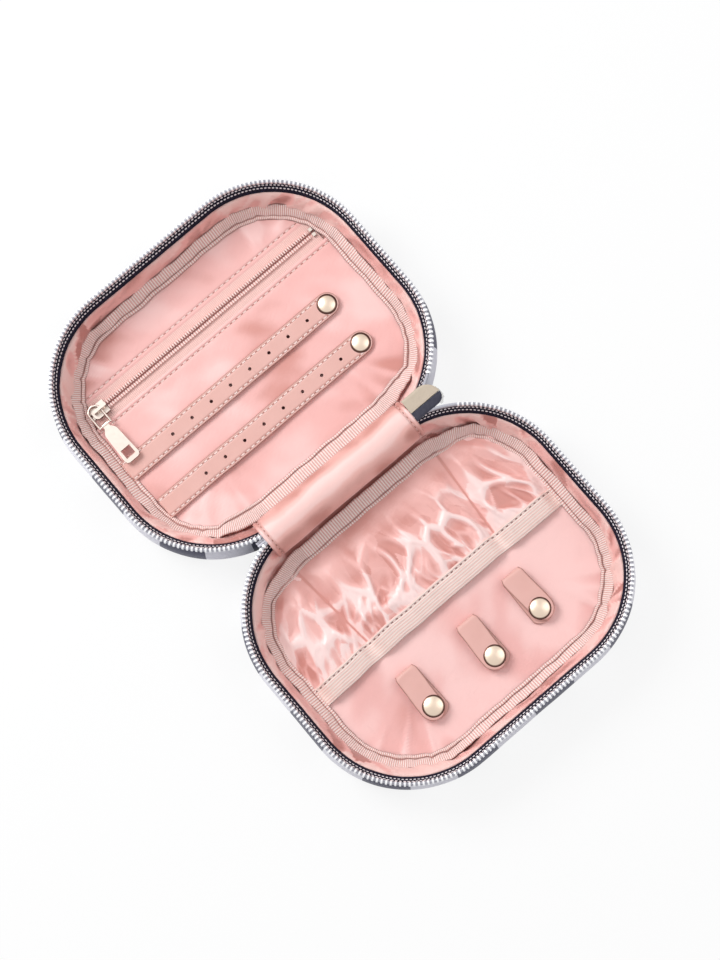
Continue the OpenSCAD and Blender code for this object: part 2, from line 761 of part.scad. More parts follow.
// How far the pocket stands open, from 0 on a seam or edge to 1 inside a bay. half is the
// pocket's half width there, and near says where along the seams: 0 at the binding, 1 at the band.
pocket_y = near_cy - corner_r + inside_binding + fit;
pocket_half = side_x(band_y, inside_binding);
seam_flare = 4;
seam_rise = 6;                      // how far from a seam the pocket has its full height
function rise(d, width) = d <= 0 ? 0 : d >= width ? 1 : (1 - cos(180 * d / width)) / 2;
function bay(x, half, near) =
    rise(abs(seam_x + seam_flare * (1 - near) - abs(x)), seam_rise) * rise(half - abs(x), seam_rise);
function gathers(x, near) =
    pow((1 + sin(x * 41 + 50 * sin(x * 3.1))) / 2, 2) * near
    + 0.8 * pow((1 + sin(x * 17 + 130 * near + 60)) / 2, 2) * sin(180 * min(1, near * 1.2));
pocket_lift = fit + 0.02;
function pocket_under(x, half, near) =
    panel_top + pocket_lift + bay(x, half, near)
    * (pocket_gape * rise(near, 0.22) + (near < 1 ? gather_h * gathers(x, near) : 0));

// A closed sheet between two grids of points
pocket_nx = 44;
pocket_ny = 12;
module elastic_pocket() {
    t = 0.9;
    y1 = band_y - fit;
    grid = [for (k = [0, 1]) for (j = [0 : pocket_ny]) for (i = [0 : pocket_nx])
        let (v = pow(j / pocket_ny, 1.4), y = pocket_y + (y1 - pocket_y) * v)
        let (half = side_x(y, inside_binding), x = half * (2 * i / pocket_nx - 1))
        [x, y, pocket_under(x, half, v) + k * t]];
    function at(k, j, i) = (k * (pocket_ny + 1) + j) * (pocket_nx + 1) + i;
    polyhedron(grid, concat(
        [for (j = [0 : pocket_ny - 1]) for (i = [0 : pocket_nx - 1]) for (f = [
            [at(0, j, i), at(0, j, i + 1), at(0, j + 1, i + 1)],
            [at(0, j, i), at(0, j + 1, i + 1), at(0, j + 1, i)],
            [at(1, j, i), at(1, j + 1, i + 1), at(1, j, i + 1)],
            [at(1, j, i), at(1, j + 1, i), at(1, j + 1, i + 1)]]) f],
        [for (i = [0 : pocket_nx - 1]) for (f = [
            [at(0, 0, i), at(1, 0, i), at(1, 0, i + 1)], [at(0, 0, i), at(1, 0, i + 1), at(0, 0, i + 1)],
            [at(0, pocket_ny, i), at(1, pocket_ny, i + 1), at(1, pocket_ny, i)],
            [at(0, pocket_ny, i), at(0, pocket_ny, i + 1), at(1, pocket_ny, i + 1)]]) f],
        [for (j = [0 : pocket_ny - 1]) for (f = [
            [at(0, j, 0), at(1, j + 1, 0), at(1, j, 0)], [at(0, j, 0), at(0, j + 1, 0), at(1, j + 1, 0)],
            [at(0, j, pocket_nx), at(1, j, pocket_nx), at(1, j + 1, pocket_nx)],
            [at(0, j, pocket_nx), at(1, j + 1, pocket_nx), at(0, j + 1, pocket_nx)]]) f]));
}

module elastic_band() {
    n = 88;
    xs = [for (i = [0 : n]) -pocket_half + 2 * pocket_half * i / n];
    translate([0, band_y + band_w, 0]) rotate([90, 0, 0]) linear_extrude(band_w)
        polygon(concat([for (x = xs) [x, pocket_under(x, pocket_half, 1)]],
                       [for (i = [n : -1 : 0]) [xs[i], pocket_under(xs[i], pocket_half, 1) + band_t]]));
}

module base_panel() {
    floor_plate(panel_in, floor_top, panel_top);
}

// ---------------------------------------------------------------- nodes

color(NAVY) base_side() cover();  // base_cover
color(FOAM) base_side() foam();  // base_foam
color(SATIN) base_side() lining();  // base_lining
color(SATIN) base_side() base_panel();
color(GROSGRAIN) base_side() binding();  // base_binding
color(NAVY) base_side() zip_tape();  // base_zip_tape
color(SILVER) base_side() zip_teeth(tooth_pitch / 2);  // base_zip_teeth
color(SATIN) base_side() spine_roll();  // base_spine_roll
color(NAVY) base_side() end_tab(base_tab_reach);  // base_end_tab
color(SATIN) base_side() elastic_pocket();
color(GROSGRAIN) base_side() elastic_band();
color(LEATHER) base_side() tab_back(left_tab);  // left_tab_back
color(LEATHER) base_side() tab_back(middle_tab);  // middle_tab_back
color(LEATHER) base_side() tab_back(right_tab);  // right_tab_back
color(GOLD) base_side() tab_studs();
color(SILVER) main_slider();
color(WHITE) cover();  // lid_cover
color(FOAM) foam();  // lid_foam
color(SATIN) lining();  // lid_lining
color(SATIN) pocket_back();
color(SATIN) upper_panel();
color(SATIN) lower_panel();
color(GROSGRAIN) pocket_zip_tape();
color(SATIN) pocket_zip_teeth();
color(GOLD) pocket_zip_stops();
color(GROSGRAIN) binding();  // lid_binding
color(NAVY) zip_tape();  // lid_zip_tape
color(SILVER) zip_teeth(0);  // lid_zip_teeth
color(SATIN) spine_roll();  // lid_spine_roll
color(WHITE) end_tab(lid_tab_reach);  // lid_end_tab
color(LEATHER) strap_end(upper_strap_y);  // upper_strap_end
color(LEATHER) strap_end(lower_strap_y);  // lower_strap_end
color(GOLD) strap_studs();
color(GOLD) pocket_slider();
color(GOLD) slider_link();
color(GOLD) pocket_pull();
color(LEATHER) strap(upper_strap_y);  // upper_strap
color(GOLD) strap_cap(upper_strap_y);  // upper_strap_cap
color(SILVER) strap_socket(upper_strap_y);  // upper_strap_socket
color(LEATHER) strap(lower_strap_y);  // lower_strap
color(GOLD) strap_cap(lower_strap_y);  // lower_strap_cap
color(SILVER) strap_socket(lower_strap_y);  // lower_strap_socket
color(LEATHER) base_side() tab_flap(left_tab);  // left_tab_flap
color(GOLD) base_side() tab_cap(left_tab);  // left_tab_cap
color(SILVER) base_side() tab_socket(left_tab);  // left_tab_socket
color(LEATHER) base_side() tab_flap(middle_tab);  // middle_tab_flap
color(GOLD) base_side() tab_cap(middle_tab);  // middle_tab_cap
color(SILVER) base_side() tab_socket(middle_tab);  // middle_tab_socket
color(LEATHER) base_side() tab_flap(right_tab);  // right_tab_flap
color(GOLD) base_side() tab_cap(right_tab);  // right_tab_cap
color(SILVER) base_side() tab_socket(right_tab);  // right_tab_socket
color(SILVER) main_pull();
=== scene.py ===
# %% [markdown]
# # Travel jewelry case, lying open
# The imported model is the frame. Metal pieces stay as they are and get their finish here. Every cloth and
# leather piece is modelled below in the same place, in metres, because a solid can't show how cloth lies.

import json
import math

import bmesh
import bpy
from mathutils import Matrix, Vector, noise

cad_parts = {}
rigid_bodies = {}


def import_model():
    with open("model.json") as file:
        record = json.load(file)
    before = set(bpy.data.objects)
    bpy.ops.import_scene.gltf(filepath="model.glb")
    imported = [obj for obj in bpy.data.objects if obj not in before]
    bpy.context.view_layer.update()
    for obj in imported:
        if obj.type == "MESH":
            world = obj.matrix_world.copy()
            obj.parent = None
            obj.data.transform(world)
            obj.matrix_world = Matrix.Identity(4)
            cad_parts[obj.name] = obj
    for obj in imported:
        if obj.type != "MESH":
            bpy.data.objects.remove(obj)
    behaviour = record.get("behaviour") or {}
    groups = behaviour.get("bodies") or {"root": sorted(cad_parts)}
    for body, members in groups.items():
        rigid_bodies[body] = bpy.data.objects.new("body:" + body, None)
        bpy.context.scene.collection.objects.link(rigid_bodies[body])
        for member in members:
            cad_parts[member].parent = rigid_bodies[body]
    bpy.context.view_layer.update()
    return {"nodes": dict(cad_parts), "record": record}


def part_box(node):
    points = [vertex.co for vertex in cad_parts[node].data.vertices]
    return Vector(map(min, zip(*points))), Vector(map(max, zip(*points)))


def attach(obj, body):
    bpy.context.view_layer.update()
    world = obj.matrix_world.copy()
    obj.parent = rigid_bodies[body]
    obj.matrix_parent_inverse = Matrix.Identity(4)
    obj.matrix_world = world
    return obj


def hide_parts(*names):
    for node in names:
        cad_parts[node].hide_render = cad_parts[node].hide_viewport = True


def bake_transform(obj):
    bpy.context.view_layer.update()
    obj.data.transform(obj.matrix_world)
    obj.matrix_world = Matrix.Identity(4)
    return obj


for leftover in list(bpy.data.objects):
    bpy.data.objects.remove(leftover)
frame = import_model()
MM = 0.001

# %% [markdown]
# ## Shared places
# Both halves have one outline, a rounded rectangle with broad corners. It could be a curve object, but a
# small formula gives a place and a direction for any distance along the rim, which all pieces then share.
# Its size comes from the lid's cover. Every swept piece is placed by its distance inside that outline and
# its height, so that all layers keep their order. Shared places are in millimetres, and meshes are in
# metres.

# %% Outline of a half
cover_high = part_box("lid_cover")[1]
SIDE = cover_high.x / MM  # from the middle to a side wall
FAR = cover_high.y / MM  # from the fold to the far wall
NEAR = -2.0  # the outline's near edge, which lies past the fold, where each half is cut off
CORNER_R = 50.0
GAP = 0.15  # from the fold's middle to each half
STRAIGHT_X = SIDE - CORNER_R
MIDDLE_Y = (FAR + NEAR) / 2
STRAIGHT_Y = FAR - MIDDLE_Y - CORNER_R
CORNER_WAY = CORNER_R * math.pi / 2
LOOP = 4 * STRAIGHT_X + 4 * STRAIGHT_Y + 4 * CORNER_WAY


def rim_at(s):
    """Outline point and outward direction at a distance s from the far wall's middle, in mm."""
    a, sign = abs(s), 1 if s >= 0 else -1
    if a < STRAIGHT_X:
        x, y, nx, ny = a, FAR, 0, 1
    elif a < STRAIGHT_X + CORNER_WAY:
        t = (a - STRAIGHT_X) / CORNER_R
        nx, ny = math.sin(t), math.cos(t)
        x, y = STRAIGHT_X + CORNER_R * nx, MIDDLE_Y + STRAIGHT_Y + CORNER_R * ny
    elif a < STRAIGHT_X + CORNER_WAY + 2 * STRAIGHT_Y:
        x, y, nx, ny = SIDE, MIDDLE_Y + STRAIGHT_Y - (a - STRAIGHT_X - CORNER_WAY), 1, 0
    elif a < STRAIGHT_X + 2 * CORNER_WAY + 2 * STRAIGHT_Y:
        t = (a - STRAIGHT_X - CORNER_WAY - 2 * STRAIGHT_Y) / CORNER_R
        nx, ny = math.cos(t), -math.sin(t)
        x, y = STRAIGHT_X + CORNER_R * nx, MIDDLE_Y - STRAIGHT_Y + CORNER_R * ny
    else:
        x, y, nx, ny = LOOP / 2 - a, NEAR, 0, -1
    return x * sign, y, nx * sign, ny


def side_x(y, inset):
    """Half width of the outline drawn in by inset, at a distance y from the fold."""
    past = max(0, abs(abs(y) - MIDDLE_Y) - STRAIGHT_Y)
    return STRAIGHT_X + math.sqrt(max((CORNER_R - inset) ** 2 - past**2, 0))


def ease(a, b, x):
    """Smooth step, 0 up to a and 1 from b on."""
    t = min(1.0, max(0.0, (x - a) / (b - a)))
    return t * t * (3 - 2 * t)


def waves(x, y, seed, size):
    """Smooth noise from -1 to 1 with features of about size."""
    return noise.noise(Vector((x / size, y / size, seed * 7.3)))


def creases(x, y, seed, size):
    """Noise with sharp crests, from 0 to 1."""
    return max(0.0, 1 - 3.2 * abs(waves(x, y, seed, size))) ** 1.5


def facets(x, y, seed, size, stretch):
    """Crests between irregular facets, 1 on a crest and 0 amid a facet, and a painted light for each facet,
    as if each faced the light at a different angle.
    """
    spans, centres = noise.voronoi(Vector((x / size, y / (stretch * size), seed * 7.3)))
    return 1 - ease(0, 0.45, spans[1] - spans[0]), noise.noise(centres[0] * 3.1)


print("outline", round(2 * SIDE, 1), "x", round(FAR, 1), "mm, loop", round(LOOP, 1))

# %% [markdown]
# ## From a bmesh to a piece
# An open sheet of cloth has no inside, so Blender can't tell which way it should face. Each piece therefore
# names the direction that its outer side looks in: up, away from its half's middle, or inward. Thickness is
# a modifier, and some pieces have their modifiers applied.

# %% Outer sides and objects


def face_the(bm, direction):
    """Turns an open surface so that its outer side faces along direction(centre)."""
    total = sum(f.normal.dot(direction(f.calc_center_median())) * f.calc_area() for f in bm.faces)
    if total < 0:
        bmesh.ops.reverse_faces(bm, faces=bm.faces[:])


def up(_):
    return Vector((0, 0, 1))


def away(p):
    return Vector((p.x, p.y - math.copysign(MIDDLE_Y * MM, p.y), 0)).normalized()


def inward(p):
    return -away(p) + Vector((0, 0, 0.6))


def to_object(bm, name, material, direction=up):
    """A smooth piece from a bmesh, with its outer side along direction(place)."""
    bmesh.ops.recalc_face_normals(bm, faces=bm.faces[:])
    bm.normal_update()
    face_the(bm, direction)
    for f in bm.faces:
        f.smooth = True
    mesh = bpy.data.meshes.new(name)
    bm.to_mesh(mesh)
    bm.free()
    obj = bpy.data.objects.new(name, mesh)
    bpy.context.scene.collection.objects.link(obj)
    mesh.materials.append(material)
    return obj


def thicken(obj, mm, offset=-1.0):
    """Gives a sheet its thickness, below its face or, with offset 0, to both sides of it."""
    solid = obj.modifiers.new("thickness", "SOLIDIFY")
    solid.thickness = mm * MM
    solid.offset = offset
    return obj


def bake(obj):
    """Applies the modifiers to the piece's mesh."""
    graph = bpy.context.evaluated_depsgraph_get()
    mesh = bpy.data.meshes.new_from_object(obj.evaluated_get(graph))
    obj.modifiers.clear()
    obj.data = mesh
    return obj


def surface_area(obj):
    graph = bpy.context.evaluated_depsgraph_get()
    mesh = obj.evaluated_get(graph).to_mesh()
    return sum(p.area for p in mesh.polygons)


print("object helpers: face_the, to_object, thicken, bake, surface_area")

# %% [markdown]
# ## Swept pieces
# Cover, lining, zip tape and binding run round a half with one profile. Each starts as a circle of edges
# that grows row by row by extrusion, and is then laid on the outline and cut off at the fold. A curve with
# a bevel would sweep a profile too, but it couldn't fold and pucker on its way. UV coordinates are metres
# along and across the cloth, which the weaves and stitches are drawn in, and a float attribute holds the
# painted light: how light the cloth is painted, from 0 for painted shade in a fold to 1 for a painted
# highlight on a crest.

# %% Sweep round a half


def lengths(profile):
    """Each profile point's distance along the profile."""
    total, out = 0.0, [0.0]
    for (a, b), (c, d) in zip(profile, profile[1:]):
        total += math.hypot(c - a, d - b)
        out.append(total)
    return out


def swept(rows, across, count, place, side):
    """Rows of vertices around the outline. place(s, row) gives (inset, height) in mm and may add a third
    value, the painted light from painted shade at 0 to painted highlight at 1, across(row) is each row's
    distance on the cloth, and side is 1 for the lid and -1 for the base."""
    bm = bmesh.new()
    index = bm.verts.layers.int.new("index")
    row_of = bm.verts.layers.int.new("row")
    # painted light per vertex: painted shade at 0, painted highlight at 1
    painted_light = bm.verts.layers.float.new("painted_light")
    ring = bmesh.ops.create_circle(bm, cap_ends=False, radius=1, segments=count)["verts"]
    for i, v in enumerate(ring):
        v[index] = i
    edges = bm.edges[:]
    for r in range(1, rows):
        out = bmesh.ops.extrude_edge_only(bm, edges=edges)["geom"]
        edges = [g for g in out if isinstance(g, bmesh.types.BMEdge) and g.is_boundary]
        for v in {v for e in edges for v in e.verts}:
            v[row_of] = r
        edges = [e for e in edges if all(v[row_of] == r for v in e.verts)]
    uv = bm.loops.layers.uv.new("cloth")
    for f in bm.faces:
        # the faces that close the ring join its last vertices to its first
        wrap = max(v[index] for v in f.verts) - min(v[index] for v in f.verts) > 2
        for loop in f.loops:
            i = loop.vert[index]
            s = ((i + count if wrap and i < 2 else i) / count - 0.5) * LOOP
            loop[uv].uv = (s * MM, across(loop.vert[row_of]) * MM)
    for v in bm.verts:
        s = (v[index] / count - 0.5) * LOOP
        x, y, nx, ny = rim_at(s)
        inset, z, *shade = place(s, v[row_of])
        v.co = Vector((x - nx * inset, (y - ny * inset) * side, z)) * MM
        v[painted_light] = shade[0] if shade else 0.5
    plane = Vector((0, (GAP + 0.05) * side * MM, 0))
    bmesh.ops.bisect_plane(bm, geom=bm.verts[:] + bm.edges[:] + bm.faces[:], plane_co=plane,
                           plane_no=(0, -side, 0), clear_outer=True)
    return bm


print("sweep helpers: lengths, swept")

# %% [markdown]
# ## Grid pieces
# Panels, tapes, tabs, the elastic pocket, its band and the roll are flat cloth that is bent into place, so
# each starts as a grid. Most are drawn on as they lie. A strip that is folded or rolled up is drawn on
# along its flat length instead, so that its ribs and stitches keep their size round every bend.

# %% Grids and strips


def grid(nx, ny):
    bm = bmesh.new()
    bmesh.ops.create_grid(bm, x_segments=nx, y_segments=ny, size=0.5)
    return bm


def draw_on(bm, spot):
    """Gives the piece its cloth UV, spot(vertex) in metres."""
    uv = bm.loops.layers.uv.new("cloth")
    for f in bm.faces:
        for loop in f.loops:
            loop[uv].uv = spot(loop.vert)


def bend(bm, place, first=0.0):
    """Moves each vertex to place(u, v), in mm. u runs from 0 to 1 and v from first to first + 1. place may
    add the painted light, from painted shade at 0 to painted highlight at 1, as a fourth value."""
    # painted light per vertex: painted shade at 0, painted highlight at 1
    painted_light = bm.verts.layers.float.new("painted_light")
    for v in bm.verts:
        x, y, z, *shade = place(v.co.x + 0.5, v.co.y + 0.5 + first)
        v.co = Vector((x, y, z)) * MM
        v[painted_light] = shade[0] if shade else 0.5


def flat_grid(nx, ny, place):
    """Cloth that is drawn on as it lies. v runs from 0 to 1."""
    bm = grid(nx, ny)
    bend(bm, place)
    draw_on(bm, lambda v: v.co.xy)
    return bm


def strip(nx, ny, width, length, place):
    """Cloth that is drawn on along its flat length, in mm. v runs from -0.5 to 0.5."""
    bm = grid(nx, ny)
    draw_on(bm, lambda v: ((v.co.x + 0.5) * length * MM, v.co.y * width * MM))
    bend(bm, place, -0.5)
    return bm


print("grid helpers: grid, draw_on, bend, flat_grid, strip")

# %% [markdown]
# ## Nodes in a few words
# Materials are built from nodes. Written out one by one, their links would fill pages, so small functions
# add a node, set or link its inputs and hand on its output. A formula then reads from the inside out.

# %% Node helpers


def link_or_set(tree, socket, value):
    if isinstance(value, bpy.types.NodeSocket):
        tree.links.new(value, socket)
    else:
        socket.default_value = value


def node(tree, kind, inputs=None, out=0, **props):
    """Adds a shader node with these inputs and properties, and gives one of its outputs."""
    n = tree.nodes.new("ShaderNode" + kind)
    for key, value in props.items():
        setattr(n, key, value)
    for key, value in (inputs or {}).items():
        link_or_set(tree, n.inputs[key], value)
    return n.outputs[out]


def calc(tree, op, *values):
    """One step of arithmetic."""
    return node(tree, "Math", dict(enumerate(values)), operation=op)


def ramp(tree, value, low, high, to_low=0.0, to_high=1.0):
    """A smooth step from to_low, where value is low, to to_high."""
    return node(tree, "MapRange", {"Value": value, "From Min": low, "From Max": high, "To Min": to_low,
                                   "To Max": to_high}, interpolation_type="SMOOTHSTEP")


def tint(tree, factor, a, b):
    """Colour a, and colour b where factor is 1."""
    return node(tree, "Mix", {0: factor, 6: a, 7: b}, out=2, data_type="RGBA")


def group(name, inputs, outputs, build):
    """A node group with named inputs. build(tree, inputs) gives the value of each of its outputs."""
    tree = bpy.data.node_groups.new(name, "ShaderNodeTree")
    for key, kind in inputs.items():
        tree.interface.new_socket(key, in_out="INPUT", socket_type="NodeSocket" + kind)
    for key in outputs:
        tree.interface.new_socket(key, in_out="OUTPUT", socket_type="NodeSocketFloat")
    start = tree.nodes.new("NodeGroupInput")
    end = tree.nodes.new("NodeGroupOutput")
    for key, value in build(tree, start.outputs).items():
        tree.links.new(value, end.inputs[key])
    return tree


def use(tree, shared, out, **inputs):
    """Places a node group in a material, and gives one of its outputs."""
    n = tree.nodes.new("ShaderNodeGroup")
    n.node_tree = shared
    for key, value in inputs.items():
        link_or_set(tree, n.inputs[key], value)
    return n.outputs[out]


print("node helpers: link_or_set, node, calc, ramp, tint, group, use")

# %% [markdown]
# ## Shared effects
# Several cloths show the same things: rows of stitches, ribs, a weave, soft creasing and checks. Each is a
# node group, built once and placed in a material with that cloth's sizes. Each works in cloth coordinates
# in metres, so a stitch of 2 mm is 2 mm on every piece, and each gives a height for the bump.

# %% Stitches, ribs, weave, creasing and checks


def build_stitches(t, i):
    """Thread in rounded stitches: Mask is 1 on thread, Hole is 1 in a needle hole between two stitches, and
    Height stands up on thread and dips in the groove that the thread pulls."""
    phase = calc(t, "SUBTRACT", calc(t, "FRACT", calc(t, "DIVIDE", i["Along"], i["Pitch"])), 0.5)
    saw = calc(t, "ABSOLUTE", phase)
    reach = calc(t, "MULTIPLY", calc(t, "SUBTRACT", i["Length"], i["Width"]), 0.5)
    dx = calc(t, "MAXIMUM", calc(t, "SUBTRACT", calc(t, "MULTIPLY", saw, i["Pitch"]), reach), 0.0)
    dy = calc(t, "SUBTRACT", i["Across"], i["Row"])
    d = calc(t, "SQRT", calc(t, "ADD", calc(t, "MULTIPLY", dx, dx), calc(t, "MULTIPLY", dy, dy)))
    d = calc(t, "DIVIDE", d, calc(t, "MULTIPLY", i["Width"], 0.5))
    groove = ramp(t, calc(t, "ABSOLUTE", calc(t, "DIVIDE", dy, i["Width"])), 0.4, 1.6, 1.0, 0.0)
    mask = ramp(t, d, 0.8, 1.15, 1.0, 0.0)
    gap = calc(t, "MAXIMUM", calc(t, "MULTIPLY", calc(t, "SUBTRACT", 0.38, saw), i["Pitch"]), 0.0)
    from_hole = calc(t, "SQRT", calc(t, "ADD", calc(t, "MULTIPLY", gap, gap), calc(t, "MULTIPLY", dy, dy)))
    hole = ramp(t, calc(t, "DIVIDE", from_hole, i["Width"]), 0.3, 0.6, 1.0, 0.0)
    return {"Mask": mask, "Hole": hole,
            "Height": calc(t, "SUBTRACT", mask, calc(t, "MULTIPLY", groove, 0.6))}


def build_ribs(t, i):
    """Round ribs side by side."""
    wave = calc(t, "SINE", calc(t, "MULTIPLY", calc(t, "DIVIDE", i["Along"], i["Pitch"]), 2 * math.pi))
    return {"Height": calc(t, "ADD", calc(t, "MULTIPLY", wave, 0.5), 0.5)}


def build_weave(t, i):
    """Threads that pass over and under each other."""
    parts = node(t, "SeparateXYZ", {"Vector": i["Vector"]}).node.outputs
    u = calc(t, "SINE", calc(t, "MULTIPLY", calc(t, "DIVIDE", parts["X"], i["Warp"]), math.pi))
    v = calc(t, "SINE", calc(t, "MULTIPLY", calc(t, "DIVIDE", parts["Y"], i["Weft"]), math.pi))
    return {"Height": calc(t, "MULTIPLY", u, v)}


def build_creasing(t, i):
    """Soft swells with a few sharp creases between them."""
    soft = node(t, "TexNoise", {"Vector": i["Vector"], "Scale": i["Scale"], "Detail": 2.0,
                                "Roughness": 0.45, "Distortion": 0.6})
    fine = node(t, "TexNoise", {"Vector": i["Vector"], "Scale": calc(t, "MULTIPLY", i["Scale"], 3.4),
                                "Detail": 1.0, "Distortion": 1.2})
    sharp = calc(t, "ABSOLUTE", calc(t, "SUBTRACT", fine, 0.5))
    return {"Height": calc(t, "SUBTRACT", soft, calc(t, "MULTIPLY", sharp, i["Sharp"]))}


def build_check(t, i):
    """Mask is 1 on every second square."""
    a = calc(t, "FLOOR", calc(t, "DIVIDE", i["Along"], i["Square"]))
    b = calc(t, "FLOOR", calc(t, "DIVIDE", i["Up"], i["Square"]))
    return {"Mask": calc(t, "FLOORED_MODULO", calc(t, "ADD", a, b), 2.0)}


STITCHES = group("stitch row", {"Along": "Float", "Across": "Float", "Row": "Float", "Pitch": "Float",
                                "Length": "Float", "Width": "Float"}, ["Mask", "Hole", "Height"],
                 build_stitches)
RIBS = group("ribs", {"Along": "Float", "Pitch": "Float"}, ["Height"], build_ribs)
WEAVE = group("weave", {"Vector": "Vector", "Warp": "Float", "Weft": "Float"}, ["Height"], build_weave)
CREASING = group("creasing", {"Vector": "Vector", "Scale": "Float", "Sharp": "Float"}, ["Height"],
                 build_creasing)
CHECK = group("check", {"Along": "Float", "Up": "Float", "Square": "Float"}, ["Mask"], build_check)
print("node groups:", ", ".join(g.name for g in bpy.data.node_groups))

# %% [markdown]
# ## From nodes to a finish
# Each finish is a Principled material that reads the piece's cloth UV. Colours are linear, and bumps have
# real heights in metres. Sewing thread could be modelled stitch by stitch, but there are over a thousand
# stitches, each half a millimetre thick, so thread is drawn and raised in the material, with its needle
# holes.

# %% Material helpers
THREAD_HEIGHT = 0.0004


def material(name, slot):
    """A new Principled material, as (material, tree, shader, cloth UV, the UV's parts). slot, the kind of
    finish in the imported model, is noted on it."""
    mat = bpy.data.materials.new(name)
    mat.use_nodes = True
    mat["slot"] = slot
    tree = mat.node_tree
    shader = tree.nodes["Principled BSDF"]
    cloth = node(tree, "UVMap", uv_map="cloth")
    parts = node(tree, "SeparateXYZ", {"Vector": cloth}).node.outputs
    return mat, tree, shader, cloth, parts


def feed(tree, shader, **inputs):
    """Sets or links the shader's sockets, named with _ for a space."""
    for key, value in inputs.items():
        link_or_set(tree, shader.inputs[key.replace("_", " ")], value)


def bump(tree, shader, *heights):
    """heights are (height socket, metres), laid over each other."""
    normal = None
    for height, distance in heights:
        inputs = {"Height": height, "Distance": distance, "Strength": 1.0}
        if normal is not None:
            inputs["Normal"] = normal
        normal = node(tree, "Bump", inputs)
    tree.links.new(normal, shader.inputs["Normal"])


def sewn(t, colour, heights, where, thread, hole=(0.22, 0.08, 0.07)):
    """Lays a row of stitches over a colour and adds its height to heights. where holds the stitches' place
    and size, thread is the colour of the thread, and hole is the painted shade in its needle holes."""
    # painted shade in the needle holes
    colour = tint(t, use(t, STITCHES, "Hole", **where), colour, (*hole, 1))
    heights.append((use(t, STITCHES, "Height", **where), THREAD_HEIGHT))
    return tint(t, use(t, STITCHES, "Mask", **where), colour, (*thread, 1))


print("material helpers: material, feed, bump, sewn")

# %% [markdown]
# ## Satin
# Polyester satin is smooth and shows its folds by sharp changes between shade and shine, more than its
# small bumps alone would give in soft light. That shade and shine are therefore painted into its colour with
# the folds: a painted light value on each vertex takes it from a painted shade colour over the satin's
# colour to a painted shine colour. It is painted shade and painted highlight, set on the cloth, so it
# doesn't follow the camera. Fine creasing and a very fine weave come on top, and the creasing adds a little
# painted shade and highlight too.

# %% Satin


def satin(name, colour, shade, shine, scale=120.0, sharp=0.5, depth=0.0006, rough=0.36, row=None,
          thread=(0.93, 0.68, 0.62)):
    """scale, sharp and depth are of the fine creasing. row is a row of stitches: the UV part along it, the
    one across it, and its distance from zero."""
    mat, t, shader, cloth, parts = material(name, "satin")
    crease = use(t, CREASING, "Height", Vector=cloth, Scale=scale, Sharp=sharp)
    weave = use(t, WEAVE, "Height", Vector=cloth, Warp=0.00035, Weft=0.0005)
    # painted light on each vertex: painted shade in folds, painted highlight on crests, with the creasing's
    # painted shade on top
    painted_light = node(t, "Attribute", out="Fac", attribute_name="painted_light")
    painted_light = calc(t, "ADD", painted_light, calc(t, "MULTIPLY", calc(t, "SUBTRACT", crease, 0.45), 0.5))
    # shade and shine are painted shade and painted highlight colours of the same satin
    cloth_colour = tint(t, ramp(t, painted_light, 0.0, 0.5), (*shade, 1), (*colour, 1))
    cloth_colour = tint(t, ramp(t, painted_light, 0.5, 1.0), cloth_colour, (*shine, 1))
    heights = [(weave, 0.00002), (crease, depth)]
    if row is not None:
        along, across, distance = row
        where = dict(Along=parts[along], Across=calc(t, "ABSOLUTE", parts[across]), Row=distance,
                     Pitch=0.0032, Length=0.0019, Width=0.0006)
        cloth_colour = sewn(t, cloth_colour, heights, where, thread, (0.42, 0.16, 0.13))
    feed(t, shader, Base_Color=cloth_colour, Roughness=rough, Sheen_Weight=0.25, Sheen_Roughness=0.4,
         Specular_IOR_Level=0.5)
    bump(t, shader, *heights)
    return mat


SALMON = satin("salmon_satin", (0.88, 0.46, 0.42), (0.54, 0.22, 0.19), (0.94, 0.62, 0.57))
PANEL = dict(colour=(0.87, 0.48, 0.45), shade=(0.66, 0.29, 0.25), shine=(0.96, 0.62, 0.59), scale=45.0,
             sharp=0.25, depth=0.0005)
CRINKLED = satin("crinkled_satin", (0.86, 0.47, 0.43), (0.66, 0.29, 0.25), (0.97, 0.73, 0.70), scale=90.0,
                 sharp=0.3, depth=0.00012, rough=0.28)
ROLL = satin("roll_satin", (0.87, 0.48, 0.43), (0.60, 0.26, 0.22), (0.93, 0.61, 0.57), scale=60.0,
             sharp=0.3, depth=0.0003, rough=0.42, row=("Y", "X", 0.0396), thread=(0.80, 0.45, 0.40))
print("satins:", SALMON.name, CRINKLED.name, ROLL.name)

# %% [markdown]
# ## Checked cover cloth
# The cover is a stiff twill in navy and white checks, one check as high as the wall. An image would be the
# usual way to colour it, but checks from rounded-down coordinates stay sharp at any distance. A fine
# diagonal twill and some noise vary both colours, and each half's checks start at their own place on the
# rim.

# %% Checked cloth
CHECK_SIZE = 0.0217
WALL_FOOT = 0.0216  # moves the edge between two rows of checks to the foot of the wall


